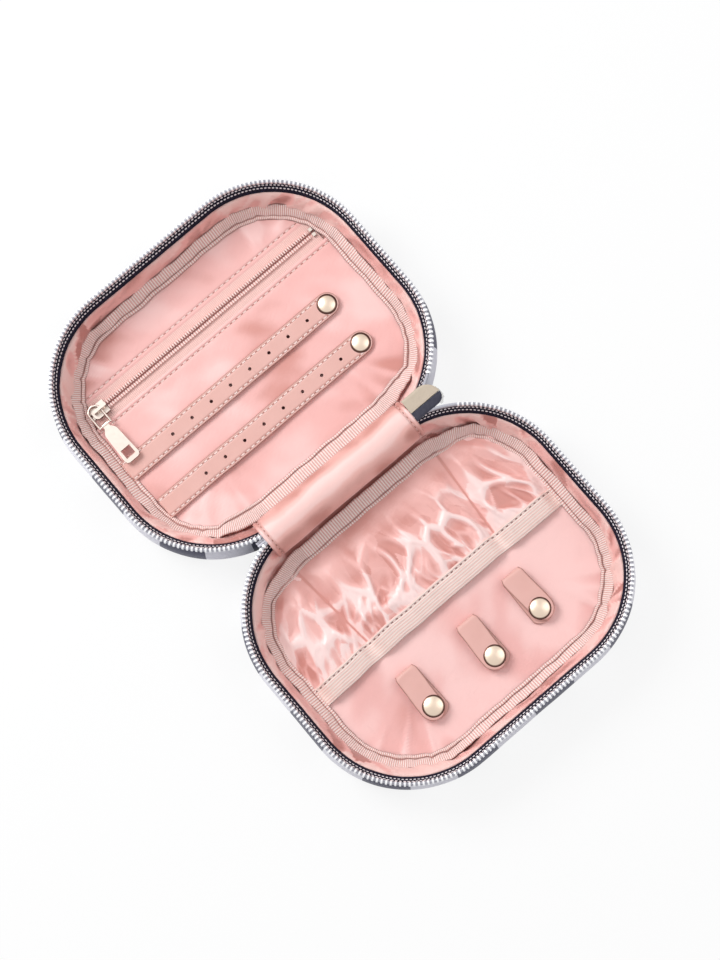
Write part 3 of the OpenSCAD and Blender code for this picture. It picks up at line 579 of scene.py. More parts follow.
def gingham(name, shift):
    """shift moves the checks along the rim, in metres."""
    mat, t, shader, cloth, parts = material(name, "gingham_cover")
    along = calc(t, "ADD", parts["X"], shift)
    up_wall = calc(t, "ADD", parts["Y"], WALL_FOOT)
    navy = use(t, CHECK, "Mask", Along=along, Up=up_wall, Square=CHECK_SIZE)
    diagonal = calc(t, "ADD", parts["X"], parts["Y"])
    twill = use(t, RIBS, "Height", Along=diagonal, Pitch=0.0007)
    sheen = node(t, "TexNoise", {"Vector": cloth, "Scale": 300.0, "Detail": 3.0})
    dark = tint(t, calc(t, "MULTIPLY", twill, sheen), (0.014, 0.014, 0.045, 1), (0.07, 0.07, 0.17, 1))
    light = tint(t, calc(t, "MULTIPLY", twill, sheen), (0.72, 0.71, 0.80, 1), (0.95, 0.94, 0.98, 1))
    feed(t, shader, Base_Color=tint(t, navy, light, dark), Roughness=0.62, Sheen_Weight=0.3)
    bump(t, shader, (twill, 0.00006), (sheen, 0.00008))
    return mat


GINGHAM_BASE = gingham("gingham_base", 0.0017)
GINGHAM_LID = gingham("gingham_lid", 0.0140)
print("checks of", CHECK_SIZE / MM, "mm on", GINGHAM_BASE.name, GINGHAM_LID.name)

# %% [markdown]
# ## Grosgrain
# The binding and the pocket zip's tape are woven with fine ribs across them, and the elastic band with ribs
# along it. Ribs this fine could be modelled only with millions of faces, so they are a bump and painted
# shade in the gaps. The binding also gets painted shade along its edges and folds, and the band gets its
# row of stitches.

# %% Ribbed ribbons


def grosgrain(name, pitch, light, gap, along="X", depth=0.0002, row=None, lines=()):
    """light is the colour of a rib and gap the painted shade in the gap beside it, and along is the UV part
    in which the ribs follow each other. row is the place across the ribbon of its stitches, and lines are
    those of its painted shade along edges and folds."""
    mat, t, shader, cloth, parts = material(name, "grosgrain")
    rib = use(t, RIBS, "Height", Along=parts[along], Pitch=pitch)
    worn = node(t, "TexNoise", {"Vector": cloth, "Scale": 160.0, "Detail": 2.0})
    light_worn = tint(t, worn, (*[c * 0.9 for c in light], 1), (*light, 1))
    # painted shade in the gaps between ribs
    colour = tint(t, ramp(t, rib, 0.05, 0.7), (*gap, 1), light_worn)
    # painted shade along the edges and the groove
    for y in lines:
        off = calc(t, "ABSOLUTE", calc(t, "SUBTRACT", parts["Y"], y))
        colour = tint(t, ramp(t, off, 0.0002, 0.0009, 0.7, 0.0), colour, (0.33, 0.11, 0.09, 1))
    heights = [(rib, depth), (worn, 0.0003)]
    if row is not None:
        where = dict(Along=parts["X"], Across=parts["Y"], Row=row,
                     Pitch=0.0026, Length=0.0013, Width=0.0006)
        colour = sewn(t, colour, heights, where, (0.90, 0.66, 0.60))
    feed(t, shader, Base_Color=colour, Roughness=0.6, Sheen_Weight=0.3)
    bump(t, shader, *heights)
    return mat


BAND = grosgrain("elastic_band_ribs", 0.0012, (1.0, 0.82, 0.75), (0.93, 0.62, 0.56), along="Y", row=0.0033)
POCKET_TAPE = grosgrain("pocket_zip_tape", 0.0008, (0.92, 0.62, 0.57), (0.80, 0.46, 0.41), depth=0.0001)
print("ribbons:", BAND.name, POCKET_TAPE.name)

# %% [markdown]
# ## Navy zip tape
# The main zip's tape is nearly black navy, with two rows of short white topstitches that are set off
# against each other. Along the bead under the teeth it is painted a light silver-grey instead of navy,
# painted light in the gaps between the teeth, which keeps them from reading as black notches.

# %% Zip tape cloth


def zip_cloth():
    mat, t, shader, cloth, parts = material("navy_zip_tape", "navy_tape")
    thread = use(t, WEAVE, "Height", Vector=cloth, Warp=0.0006, Weft=0.0004)
    rows = []
    for start, row in ((0.0, 0.0020), (0.0009, 0.0040)):
        along = calc(t, "ADD", parts["X"], start)
        rows.append(use(t, STITCHES, "Mask", Along=along, Across=parts["Y"], Row=row,
                        Pitch=0.0019, Length=0.0013, Width=0.0009))
    white = calc(t, "MAXIMUM", *rows)
    fleck = node(t, "TexNoise", {"Vector": cloth, "Scale": 900.0, "Detail": 2.0})
    navy = tint(t, ramp(t, fleck, 0.5, 0.8), (0.004, 0.004, 0.014, 1), (0.03, 0.03, 0.08, 1))
    colour = tint(t, white, navy, (0.88, 0.87, 0.90, 1))
    # painted light: the navy bead under the teeth is lightened to silver-grey
    painted_light_beside_teeth = ramp(t, calc(t, "ABSOLUTE", parts["Y"]), 0.0008, 0.0011, 0.8, 0.0)
    colour = tint(t, painted_light_beside_teeth, colour, (0.60, 0.60, 0.66, 1))
    feed(t, shader, Base_Color=colour, Roughness=0.8, Specular_IOR_Level=0.2)
    bump(t, shader, (thread, 0.00006), (white, 0.0003))
    return mat


NAVY_TAPE = zip_cloth()
print("tape:", NAVY_TAPE.name)

# %% [markdown]
# ## Leather
# Straps and tabs are smooth leathercloth with a very fine grain. Its colour drifts slowly, its edge is dark
# where the cut is painted, and the straps have a row of stitches along both sides.

# %% Leather


def leather(name, light, dark, half, row=None):
    """half is from the middle to the edge, and row is the stitches' distance from the middle, in metres."""
    mat, t, shader, cloth, parts = material(name, "leather")
    across = calc(t, "ABSOLUTE", parts["Y"])
    grain = node(t, "TexVoronoi", {"Vector": cloth, "Scale": 1400.0}, feature="F1")
    soft = node(t, "TexNoise", {"Vector": cloth, "Scale": 90.0, "Detail": 2.0})
    skin = tint(t, soft, (*dark, 1), (*light, 1))
    skin = tint(t, ramp(t, across, half - 0.0007, half, 0.0, 0.75), skin, (0.36, 0.16, 0.13, 1))
    heights = [(grain, 0.00003)]
    if row is not None:
        where = dict(Along=parts["X"], Across=across, Row=row, Pitch=0.0029, Length=0.0019, Width=0.00065)
        skin = sewn(t, skin, heights, where, (0.92, 0.70, 0.65), (0.40, 0.16, 0.13))
    feed(t, shader, Base_Color=skin, Roughness=0.5, Coat_Weight=0.05)
    bump(t, shader, *heights)
    return mat


LEATHER = leather("stitched_leather", (0.77, 0.46, 0.41), (0.71, 0.40, 0.35), 0.0055, 0.0042)
TAB_LEATHER = leather("tab_leather", (0.80, 0.47, 0.42), (0.73, 0.40, 0.35), 0.0055)
print("leathers:", LEATHER.name, TAB_LEATHER.name)

# %% [markdown]
# ## Metal and small parts
# The imported metal pieces have no cloth UV, so their finish reads Object coordinates. Roughness varies a
# little, as on plated metal that has been handled. On snaps and the slider, painted shade and a painted dark
# reflection lie on the sides, which are the faces whose normal leans away from upright.

# %% Plain finishes


def plain(name, slot, colour, rough, metallic=0.0, grain=0.0, rim=None, steep=(0.90, 0.925)):
    """grain is the depth of small bumps in metres. rim is the colour of the painted shade and dark reflection
    on the sides, and steep is the range of a normal's height in which it gives way to the colour."""
    mat, t, shader, _, _ = material(name, slot)
    place = node(t, "TexCoord", out="Object")
    specks = node(t, "TexNoise", {"Vector": place, "Scale": 700.0, "Detail": 3.0})
    if rim:
        # painted shade and dark reflection on faces that lean away from upright
        facing = node(t, "SeparateXYZ", {"Vector": node(t, "TexCoord", out="Normal")}, out="Z")
        colour = tint(t, ramp(t, calc(t, "ABSOLUTE", facing), *steep), (*rim, 1), (*colour, 1))
    else:
        colour = (*colour, 1)
    feed(t, shader, Base_Color=colour, Metallic=metallic,
         Roughness=ramp(t, specks, 0.2, 0.8, rough * 0.9, rough * 1.1))
    if grain:
        bump(t, shader, (specks, grain))
    return mat


# painted shade for the inside of a punched hole
PUNCHED_HOLE_SHADE = plain("punched_hole_shade", "leather", (0.10, 0.03, 0.03), 0.9)
# painted shade: the white check's colour darkened to tan
SHADED_WHITE_TAB = plain("white_tab_painted_shade", "end_tab_tan", (0.55, 0.46, 0.36), 0.6, grain=0.0002)
CHARCOAL = plain("charcoal_end_tab", "end_tab_grey", (0.035, 0.035, 0.055), 0.8, grain=0.0004)
TEETH = plain("silver_teeth", "zip_teeth", (0.90, 0.90, 0.92), 0.36, metallic=0.6)
# rim: painted shade and dark reflection round the caps' and slider's sides
GOLD = plain("champagne_gold", "gold", (0.75, 0.61, 0.49), 0.36, metallic=1.0, rim=(0.10, 0.05, 0.04))
PALE_GOLD = plain("pale_gold", "gold", (0.78, 0.68, 0.61), 0.3, metallic=1.0, rim=(0.20, 0.09, 0.07),
                  steep=(0.3, 0.6))
STEEL = plain("nickel", "steel", (0.70, 0.69, 0.68), 0.26, metallic=1.0)
print("metals:", TEETH.name, GOLD.name, PALE_GOLD.name, STEEL.name)

# %% [markdown]
# ## Pocket zip's coil
# The pocket's zip has nylon coil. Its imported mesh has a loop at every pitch, in two rows that are half a
# pitch apart, and reads as one pink bar without shade between the loops. Ribs in Object coordinates, set in
# step with the loops, give that shade.

# %% Coil


def coil(pitch=0.00125, wire=0.00055):
    """pitch and wire are the loops' spacing and their thickness, in metres."""
    mat, t, shader, _, _ = material("pink_coil", "pocket_coil")
    low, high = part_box("pocket_zip_teeth")
    place = node(t, "SeparateXYZ", {"Vector": node(t, "TexCoord", out="Object")}).node.outputs
    lower_row = calc(t, "LESS_THAN", place["Y"], (low.y + high.y) / 2)
    along = calc(t, "ADD", place["X"], calc(t, "MULTIPLY", lower_row, pitch / 2))
    along = calc(t, "SUBTRACT", along, low.x + wire / 2 - pitch / 4)
    rib = use(t, RIBS, "Height", Along=along, Pitch=pitch)
    colour = tint(t, ramp(t, rib, 0.15, 0.65), (0.60, 0.29, 0.25, 1), (0.97, 0.73, 0.68, 1))
    feed(t, shader, Base_Color=colour, Roughness=0.4, Coat_Weight=0.15)
    bump(t, shader, (rib, 0.0002))
    return mat


COIL = coil()
print(len(bpy.data.materials), "materials")

# %% [markdown]
# ## Metal pieces
# Teeth, coil, sliders, link, pulls and snaps are solid metal or plastic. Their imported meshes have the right
# shape already, so modelling them again would gain nothing, and only their material slots change.

# %% Finish the metal pieces
PULL_PIECES = ("pocket_slider", "slider_link", "pocket_pull", "pocket_zip_stops")
FINISH = {"zip_teeth": TEETH, "pocket_coil": COIL, "gold": GOLD, "steel": STEEL}
slot_of = {p["node"]: p["material_slot"] for p in frame["record"]["subparts"]}
for name, obj in frame["nodes"].items():
    finish = PALE_GOLD if name in PULL_PIECES else FINISH.get(slot_of[name])
    if finish:
        obj.data.materials.clear()
        obj.data.materials.append(finish)
print("metal:", sum(slot_of[n] in FINISH for n in frame["nodes"]), "nodes")

# %% [markdown]
# ## Outer cover
# Each half's cover is checked cloth on a soft foam wall. It could be cut and sewn from flat pieces, as the
# real one is, but a swept shell follows the outline exactly: a flat underside with a pressed-in seam round
# it, a rounded lower edge, and a wall that bulges and leans in to the turned top edge. Slow waves in the
# wall keep it from looking moulded. A plain wall closes the side at the fold.

# %% Covers
FOOT_R = 8  # of the rounded lower edge
LEAN_HEIGHT, LEAN = 10.4, 3.4  # the wall above it leans in by LEAN
LEAN_R = (LEAN**2 + LEAN_HEIGHT**2) / (2 * LEAN)
FOLD_WALL_T = 1.0
FOLD_WALL_LOW, FOLD_WALL_HIGH = 2.0, 23.4
# The profile in mm, as (distance outwards from the rim, height), from the underside to the turned edge.
WALL = [(-14.0, 0.0), (-9.2, 0.0), (-8.75, 0.0), (-8.4, 0.45), (-8.15, 0.45)]
for degrees in range(0, 91, 15):
    a = math.radians(degrees)
    WALL.append((FOOT_R * math.sin(a) - FOOT_R, FOOT_R - FOOT_R * math.cos(a)))
FOOT_END = len(WALL) - 1
WALL += [(math.sqrt(LEAN_R**2 - h**2) - LEAN_R, FOOT_R + h) for h in (1.5, 3.5, 5.5, 7.5, 9.2, 10.4)]
WALL += [(-LEAN - 0.15, 18.7), (-LEAN - 0.6, 18.85), (-LEAN - 0.95, 18.6), (-LEAN - 1.1, 17.6)]


def cover(name, side, finish, seed):
    way = lengths(WALL)
    ground = way[FOOT_END] - FOOT_R

    def place(s, row):
        x, z = WALL[row]
        lift = ease(1.0, 9.0, z) * (1 - ease(18.0, 18.8, z))
        soft = 0.35 * waves(s, z * 2, seed, 34) + 0.12 * waves(s, z * 2, seed + 1, 11)
        top = ease(16, 18.5, z) * 0.25 * waves(s, 0, seed + 2, 17)
        return -x + 0.3 * lift - soft * lift, z + top

    bm = swept(len(WALL), lambda r: way[r] - ground, 520, place, side)
    underside = [e for e in bm.edges if e.is_boundary and all(v.co.z < 0.1 * MM for v in e.verts)]
    bmesh.ops.contextual_create(bm, geom=underside)
    uv = bm.loops.layers.uv["cloth"]
    for f in bm.faces:
        if all(v.co.z < 0.1 * MM for v in f.verts):
            for loop in f.loops:
                loop[uv].uv = loop.vert.co.xy
    wall = bmesh.ops.create_cube(bm, size=1)["verts"]
    width = 2 * (STRAIGHT_X + math.sqrt(CORNER_R**2 - (CORNER_R + NEAR) ** 2) - 0.5)
    size = Vector((width, FOLD_WALL_T, FOLD_WALL_HIGH - FOLD_WALL_LOW))
    centre = Vector((0, side * (GAP + FOLD_WALL_T / 2), (FOLD_WALL_LOW + FOLD_WALL_HIGH) / 2))
    bmesh.ops.scale(bm, vec=size * MM, verts=wall)
    bmesh.ops.translate(bm, vec=centre * MM, verts=wall)
    obj = to_object(bm, name + "_cloth", finish, away)
    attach(obj, name.split("_")[0])
    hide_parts(name)
    return obj


base_cover = cover("base_cover", -1, GINGHAM_BASE, 3)
cover("lid_cover", 1, GINGHAM_LID, 8)
print("covers:", len(base_cover.data.polygons), "faces each")

# %% [markdown]
# ## Lining of the walls
# The satin lining runs from the zip tape down to the floor over foam. It is a sheet that is longer than its
# wall, so it bags in long soft ridges along the wall, with short pinched creases in the corners and small
# puckers where it is sewn to the tape, and it crumples into facets, most of all in the corners. It could be
# simulated, but it is sewn down on both edges, and a profile with displaced rows gives the same in an
# instant.

# %% Linings
# The profile in mm, as (inset, height), from the zip tape to the floor.
LINING = [(5.7, 17.3), (6.15, 17.7), (6.7, 17.1), (7.2, 15.6), (7.6, 14.0), (7.9, 12.4), (8.2, 10.8),
          (8.5, 9.2), (8.9, 7.6), (9.6, 6.2), (10.8, 5.0), (12.4, 4.1), (13.6, 3.8)]


def corner_share(s):
    """How far a place on the rim is inside a corner, from 0 to 1."""
    _, _, nx, ny = rim_at(s)
    return min(1.0, 2.6 * abs(nx * ny))


def near_share(s):
    """1 along the fold, 0 on the other three sides."""
    _, _, _, ny = rim_at(s)
    return ease(0.72, 0.97, -ny)


def lining(name, side, seed):
    way = lengths(LINING)

    def place(s, row):
        inset, z = LINING[row]
        down = way[row]
        t = down / way[-1]
        belly = math.sin(math.pi * min(1, t * 1.15))
        ridge = 0.95 * waves(s, down * 3.2, seed, 21) + 0.35 * waves(s, down * 2.0, seed + 1, 8)
        pinch = 1.5 * corner_share(s) * creases(s + down * 0.7, down * 0.35, seed + 2, 17)
        pucker = 0.22 * waves(s, 0, seed + 3, 2.6) * (1 - ease(0.02, 0.3, t))
        warped = s + down * 0.9 + 3 * waves(s, down, seed + 4, 9)
        crest, facet_light = facets(warped, down, seed + 5, 12, 1.6)
        crumpled = 0.3 + 0.7 * corner_share(s)
        # painted light: painted highlight on ridges, pinches and crests, painted shade towards the floor,
        # lighter by the tape, and a painted light for each facet, most in the corners
        painted_light = 0.42 + 0.45 * ridge + 0.5 * pinch - 0.5 * ease(0.5, 0.95, t) + 0.15 * (1 - ease(0, 0.2, t))
        painted_light += crumpled * (0.65 * crest**2 + 1.9 * facet_light - 0.3)
        bagging = belly * (0.6 + ridge + pinch + 0.7 * crumpled * crest)
        return inset + bagging + pucker, z + 0.3 * pucker, painted_light

    bm = swept(len(LINING), lambda r: way[r], 680, place, side)
    obj = to_object(bm, name + "_cloth", SALMON, inward)
    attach(obj, name.split("_")[0])
    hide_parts(name, name.replace("lining", "foam"))
    return obj


base_lining = lining("base_lining", -1, 11)
lid_lining = lining("lid_lining", 1, 17)
lining_area = surface_area(lid_lining)
print("lining area", round(lining_area, 5), "m2")

# %% [markdown]
# ## Zip tape
# The navy tape stands up from the cover's edge to the teeth, and its bead carries them. It is one swept
# ribbon, up the outside, round the bead and down the inside, so both faces show the rows of white
# topstitches, which are drawn in its UV and measured from the bead. The stretch that the padded roll hides
# is left out, because two tapes there would cut into the roll.

# %% Zip tapes
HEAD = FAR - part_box("lid_zip_tape")[1].y / MM + 0.75  # the bead's middle, inside the rim
TAPE_TOP, TAPE_FOOT = 23.7, 17.0
BEAD_R = 0.72
HIDDEN_X, HIDDEN_Y = 42.1, 9.6  # what the padded roll covers
tilt = Vector((3.0, TAPE_TOP - TAPE_FOOT)).normalized()
outwards = Vector((tilt.y, -tilt.x))


def tape_profile():
    """Points of the profile, each with its distance from the bead on the cloth."""
    head, foot = Vector((-HEAD, TAPE_TOP)), Vector((-HEAD - 3.0, TAPE_FOOT))
    outer = outwards * 0.4
    rows = [(foot + outer, 7.0), ((foot + head) / 2 + outer, 3.6), (head - tilt * 0.75 + outer, 0.75)]
    for degrees in range(-40, 221, 20):
        a = math.radians(degrees) + math.atan2(outwards.y, outwards.x)
        on_cloth = 0.75 - (degrees + 40) / 260 * 0.75
        rows.append((head + Vector((math.cos(a), math.sin(a))) * BEAD_R, on_cloth))
    rows += [(head - tilt * t - outer, t) for t in (0.8, 1.6, 2.6, 3.8, 5.2, 6.8)]
    return rows


TAPE = tape_profile()


def zip_tape(name, side, seed):
    def place(s, row):
        p, v = TAPE[row]
        loose = ease(0.8, 5.0, v) * (0.14 * waves(s, v, seed, 13) + 0.05 * waves(s, v, seed + 1, 4))
        return -p.x + loose, p.y

    bm = swept(len(TAPE), lambda r: TAPE[r][1] if r > 2 else -TAPE[r][1], 560, place, side)
    hidden = [f for f in bm.faces
              if all(abs(v.co.x) < HIDDEN_X * MM and abs(v.co.y) < HIDDEN_Y * MM for v in f.verts)]
    bmesh.ops.delete(bm, geom=hidden, context="FACES")
    obj = to_object(bm, name + "_cloth", NAVY_TAPE, away)
    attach(obj, name.split("_")[0])
    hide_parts(name)


zip_tape("base_zip_tape", -1, 23)
zip_tape("lid_zip_tape", 1, 29)
print("tapes: rim inset", round(HEAD, 2), "mm")

# %% [markdown]
# ## Binding
# A ribbed ribbon covers the raw edges where the walls meet the panels. It leans on the wall in a broad wavy
# strip, turns over the edge at a deep groove and ends in a narrow strip on the panel. A plain bevelled
# curve would lie too evenly, so it is swept with two profiles: the leaning one, and a flat one beside the
# padded roll, where there is no wall to lean on.

# %% Bindings
# Both profiles in mm, as (inset, height), from the wall to the panel.
BROAD = [(9.4, 9.3), (9.5, 9.6), (10.4, 8.7), (11.4, 7.7), (12.4, 6.7), (13.1, 5.9), (13.45, 5.0),
         (13.6, 5.2), (13.9, 5.75), (14.5, 5.65), (15.1, 5.2), (15.3, 4.75)]
FLAT = [(12.0, 6.4), (12.1, 6.9), (13.4, 6.5), (14.8, 6.1), (16.3, 5.8), (17.8, 5.6), (18.5, 5.0),
        (18.6, 5.2), (18.8, 5.5), (19.4, 5.4), (19.9, 5.1), (20.0, 4.75)]
GROOVE = 6  # the row in the groove
BROAD_WAY = lengths(BROAD)
GROSGRAIN = grosgrain("grosgrain_binding", 0.0012, (1.0, 0.84, 0.79), (0.76, 0.40, 0.36),
                      lines=[BROAD_WAY[r] * MM for r in (0, GROOVE, -1)])


def binding(name, side, seed):
    def place(s, row):
        near = near_share(s)
        inset = BROAD[row][0] * (1 - near) + FLAT[row][0] * near
        z = BROAD[row][1] * (1 - near) + FLAT[row][1] * near
        loose = 1 - ease(5, 8, row) * 0.45
        sway = 0.8 * waves(s, 0, seed, 14) + 0.5 * waves(s, row, seed + 1, 6)
        sway -= 0.9 * corner_share(s) * creases(s, 0, seed + 5, 12)
        narrow_sway = 0.5 * waves(s, 3, seed + 2, 9) * (row >= GROOVE)
        edge = 1 - ease(0, 4, row)
        inset += loose * (sway + edge * 0.5 * waves(s, 0, seed + 3, 5)) * (1 - 0.4 * near) + narrow_sway
        return inset, z + 0.35 * edge * waves(s, 5, seed + 4, 8) * (1 - near)

    bm = swept(len(BROAD), lambda r: BROAD_WAY[r], 720, place, side)
    obj = to_object(bm, name + "_ribbon", GROSGRAIN, inward)
    thicken(obj, 0.25)
    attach(obj, name.split("_")[0])
    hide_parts(name)
    return obj


for name, side, seed in (("base_binding", -1, 37), ("lid_binding", 1, 43)):
    ribbon = binding(name, side, seed)
print("binding area", round(surface_area(ribbon), 5), "m2 both faces")

# %% [markdown]
# ## Padded floor panels
# The floors are satin over thin padding. They could be inflated by a simulation, but the padding is so thin
# that the satin only swells softly. A grid whose rows end at the outline takes broad swells and a few folds
# that run in from the corners. The lid's floor is in two parts with the pocket zip's window between them,
# and each turns down at the window, with a row of stitches beside the fold.

# %% Floor panels
PANEL_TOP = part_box("base_panel")[1].z / MM
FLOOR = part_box("base_panel")[0].z / MM
SEWN = 3.1  # from a folded edge to its stitches
coil_low, coil_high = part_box("pocket_zip_teeth")
ZIP_Y = (coil_low.y + coil_high.y) / 2 / MM
WINDOW = 4.9  # from the zip's middle to a folded edge
PANEL_NEAR, PANEL_FAR = 11.6, FAR - 13.0


def panel(name, node_name, side, y0, y1, seed, rolled=None, painted_lightness=0.57):
    """A padded floor between y0 and y1, distances from the fold. rolled is the y of a folded edge, and
    bright is the floor's usual painted light, from painted shade at 0 to painted highlight at 1."""
    rows = max(8, int((y1 - y0) / 1.1))

    def place(u, v):
        y = y0 + (y1 - y0) * v
        x = (2 * u - 1) * side_x(y, 12.6)
        corner = min(1.0, 2.4 * ease(20, 62, abs(x)) * ease(22, 60, abs(y - MIDDLE_Y)))
        swell = 0.55 * waves(x, y, seed, 30) + 0.2 * waves(x, y, seed + 1, 12)
        toward = math.atan2(abs(y - MIDDLE_Y) - 18, abs(x) - 32) * 22
        fold = corner * creases(toward + 40 * (x > 0), math.hypot(x, y - MIDDLE_Y) * 0.12, seed + 2, 9)
        # painted light: broad painted shade and highlight, painted shade in the corners and painted highlight
        # on the folds
        painted_light = painted_lightness + 0.8 * waves(x, y, seed + 5, 31) + 0.3 * waves(x + y, (x - y) * 0.35, seed + 6, 11)
        painted_light -= 0.3 * corner - 0.7 * fold
        z = PANEL_TOP - 0.35 + swell + fold
        if rolled is not None:
            d = abs(y - rolled)
            z = PANEL_TOP - 0.3 + (z - PANEL_TOP + 0.3) * ease(1, 9, d) - 0.9 * (1 - ease(0, 1.1, d))
            z -= 0.25 * math.exp(-((d - SEWN) / 0.45) ** 2) * (0.6 + 0.4 * math.cos(x * 2 * math.pi / 3.2))
            # painted shade along the folded edge at the window
            painted_light = 0.55 + (painted_light - 0.55) * ease(1, 10, d) - 0.7 * (1 - ease(0.2, 1.2, d))
            z = min(z, PANEL_TOP + 0.25)
        return x, y * side, z, painted_light

    sewn_at = None
    if rolled is not None:
        sewn_at = ("X", "Y", (rolled + math.copysign(SEWN, rolled - ZIP_Y)) * MM)
    obj = to_object(flat_grid(150, rows, place), name, satin(name + "_satin", row=sewn_at, **PANEL))
    thicken(obj, 0.9)
    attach(obj, "lid" if side > 0 else "base")
    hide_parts(node_name)
    return obj


base_panel = panel("base_panel_cloth", "base_panel", -1, PANEL_NEAR, PANEL_FAR, 51, painted_lightness=0.85)
upper_panel = panel("upper_panel_cloth", "upper_panel", 1, ZIP_Y + WINDOW, PANEL_FAR, 57,
                    rolled=ZIP_Y + WINDOW)
lower_panel = panel("lower_panel_cloth", "lower_panel", 1, PANEL_NEAR, ZIP_Y - WINDOW, 61,
                    rolled=ZIP_Y - WINDOW)
print("panels:", [len(p.data.polygons) for p in (base_panel, upper_panel, lower_panel)])

# %% [markdown]
# ## Pocket zip's tape and the pocket's back
# Two flat woven tapes carry the coil and run on under the panels' folded edges, over a thin satin back. All
# are plain sheets, held flat by their seams, so flat grids do, and only the tapes sway a little.

# %% Pocket tapes and back
tape_low, tape_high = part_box("pocket_zip_tape")


def pocket_tape(name, sign):
    half, inner, outer = tape_high.x / MM, 0.5, (tape_high.y - tape_low.y) / 2 / MM
    z = tape_high.z / MM

    def place(u, v):
        x, across = (2 * u - 1) * half, inner + (outer - inner) * v
        return x, ZIP_Y + sign * across, z + 0.06 * waves(x, across, 71 + sign, 9) * ease(2, 4, across)

    obj = to_object(flat_grid(130, 8, place), name, POCKET_TAPE)
    thicken(obj, 0.25)
    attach(obj, "lid")
    return obj


def back_place(u, v):
    y = PANEL_NEAR + (PANEL_FAR - PANEL_NEAR) * v
    return (2 * u - 1) * side_x(y, 13.2), y, FLOOR + 0.15


upper_tape = pocket_tape("pocket_tape_upper", 1)
pocket_tape("pocket_tape_lower", -1)
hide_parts("pocket_zip_tape")
pocket_back = to_object(flat_grid(60, 50, back_place), "pocket_back_cloth", SALMON)
thicken(pocket_back, 0.1)
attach(pocket_back, "lid")
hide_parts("pocket_back")
print("pocket back area", round(surface_area(pocket_back), 5), "m2 both faces")

# %% [markdown]
# ## Straps
# Each strap is one strip of stitched leather: sewn down at its left end, loose from the bend to its snap,
# and punched with holes for ear studs. A grid laid along the strap is rounded around the snap, thickened
# and punched. A cut-out outline could be extruded instead, but a grid can also lift and sway.

# %% Straps
ROUNDED = 0.88  # the share of a strap's grid that is straight; the rest is the round end
LEVEL = 0.72  # the share of its half width that is level; the rest is rounded off
HOLES, HOLE_STEP, FIRST_HOLE = 8, 11.2, 11.5


def punch_holes(obj, name, spots):
    """Cuts a tapered stud hole at each spot, and lines it with painted shade, a near-black colour for the
    shade inside it.
    """
    punch = bmesh.new()
    for spot in spots:
        bmesh.ops.create_cone(punch, cap_ends=True, segments=20, radius1=0.72 * MM, radius2=0.85 * MM,
                              depth=4 * MM, matrix=Matrix.Translation(Vector(spot) * MM))
    cutter = to_object(punch, name + "_punch", PUNCHED_HOLE_SHADE, away)
    obj.data.materials.append(PUNCHED_HOLE_SHADE)
    cut = obj.modifiers.new("holes", "BOOLEAN")
    cut.object = cutter
    cut.operation = "DIFFERENCE"
    cut.solver = "EXACT"
    cut.material_mode = "TRANSFER"
    bake(obj)
    bpy.data.objects.remove(cutter)


def strap(name, seed):
    end_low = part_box(name + "_end")[0]
    low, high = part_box(name)
    r = (high.y - low.y) / 2 / MM
    y, top = (high.y + low.y) / 2 / MM, high.z / MM
    snap, start, bend_x = high.x / MM - r, end_low.x / MM - 1.2, low.x / MM
    thick = (high.z - low.z) / MM - 0.1
    bm = grid(168, 14)
    cloth = {}
    for v in bm.verts:
        u, side = v.co.x + 0.5, v.co.y * 2
        a = math.pi / 2 * min(1, max(0, (u - ROUNDED) / (1 - ROUNDED)))
        x = start + (snap - start) * min(1, u / ROUNDED) + r * math.sin(a)
        off = side * r * max(math.cos(a), 0.02)
        loose = ease(bend_x, bend_x + 12, x) * (1 - ease(snap - 16, snap - 7, x))
        pillow = -0.35 * max(abs(side) - LEVEL, 0) ** 2 / 0.078 * math.cos(a)
        lift = loose * (0.3 + 0.35 * waves(x, 0, seed, 26) + 0.08 * waves(x, off, seed + 1, 6))
        sway = loose * 0.35 * waves(x, 0, seed + 2, 40)
        around = math.copysign(math.hypot(max(0, x - snap), off), side or 1)
        cloth[v] = Vector((x - start + a * r * 0.8, around)) * MM
        v.co = Vector((x, y + off + sway, top + pillow + lift)) * MM
    draw_on(bm, cloth.get)
    obj = thicken(to_object(bm, name + "_leather", LEATHER), thick)
    punch_holes(obj, name, [(snap - FIRST_HOLE - i * HOLE_STEP, y, top + 1.0) for i in range(HOLES)])
    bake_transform(obj)
    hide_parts(name, name + "_end")
    return obj, len(obj.data.polygons)


print("straps:", strap("upper_strap", 81)[1], strap("lower_strap", 87)[1], "faces")

# %% [markdown]
# ## Necklace tabs
# Each tab is one leather strip: the back layer lies on the floor, the strip turns over in a loop and its
# flap comes back over the snap. It could be two plates and a half tube, but a grid that follows the whole
# path has no joints to show.

# %% Necklace tabs
ENDS = 0.14  # the share of the grid at each end whose rows crowd together for the round end


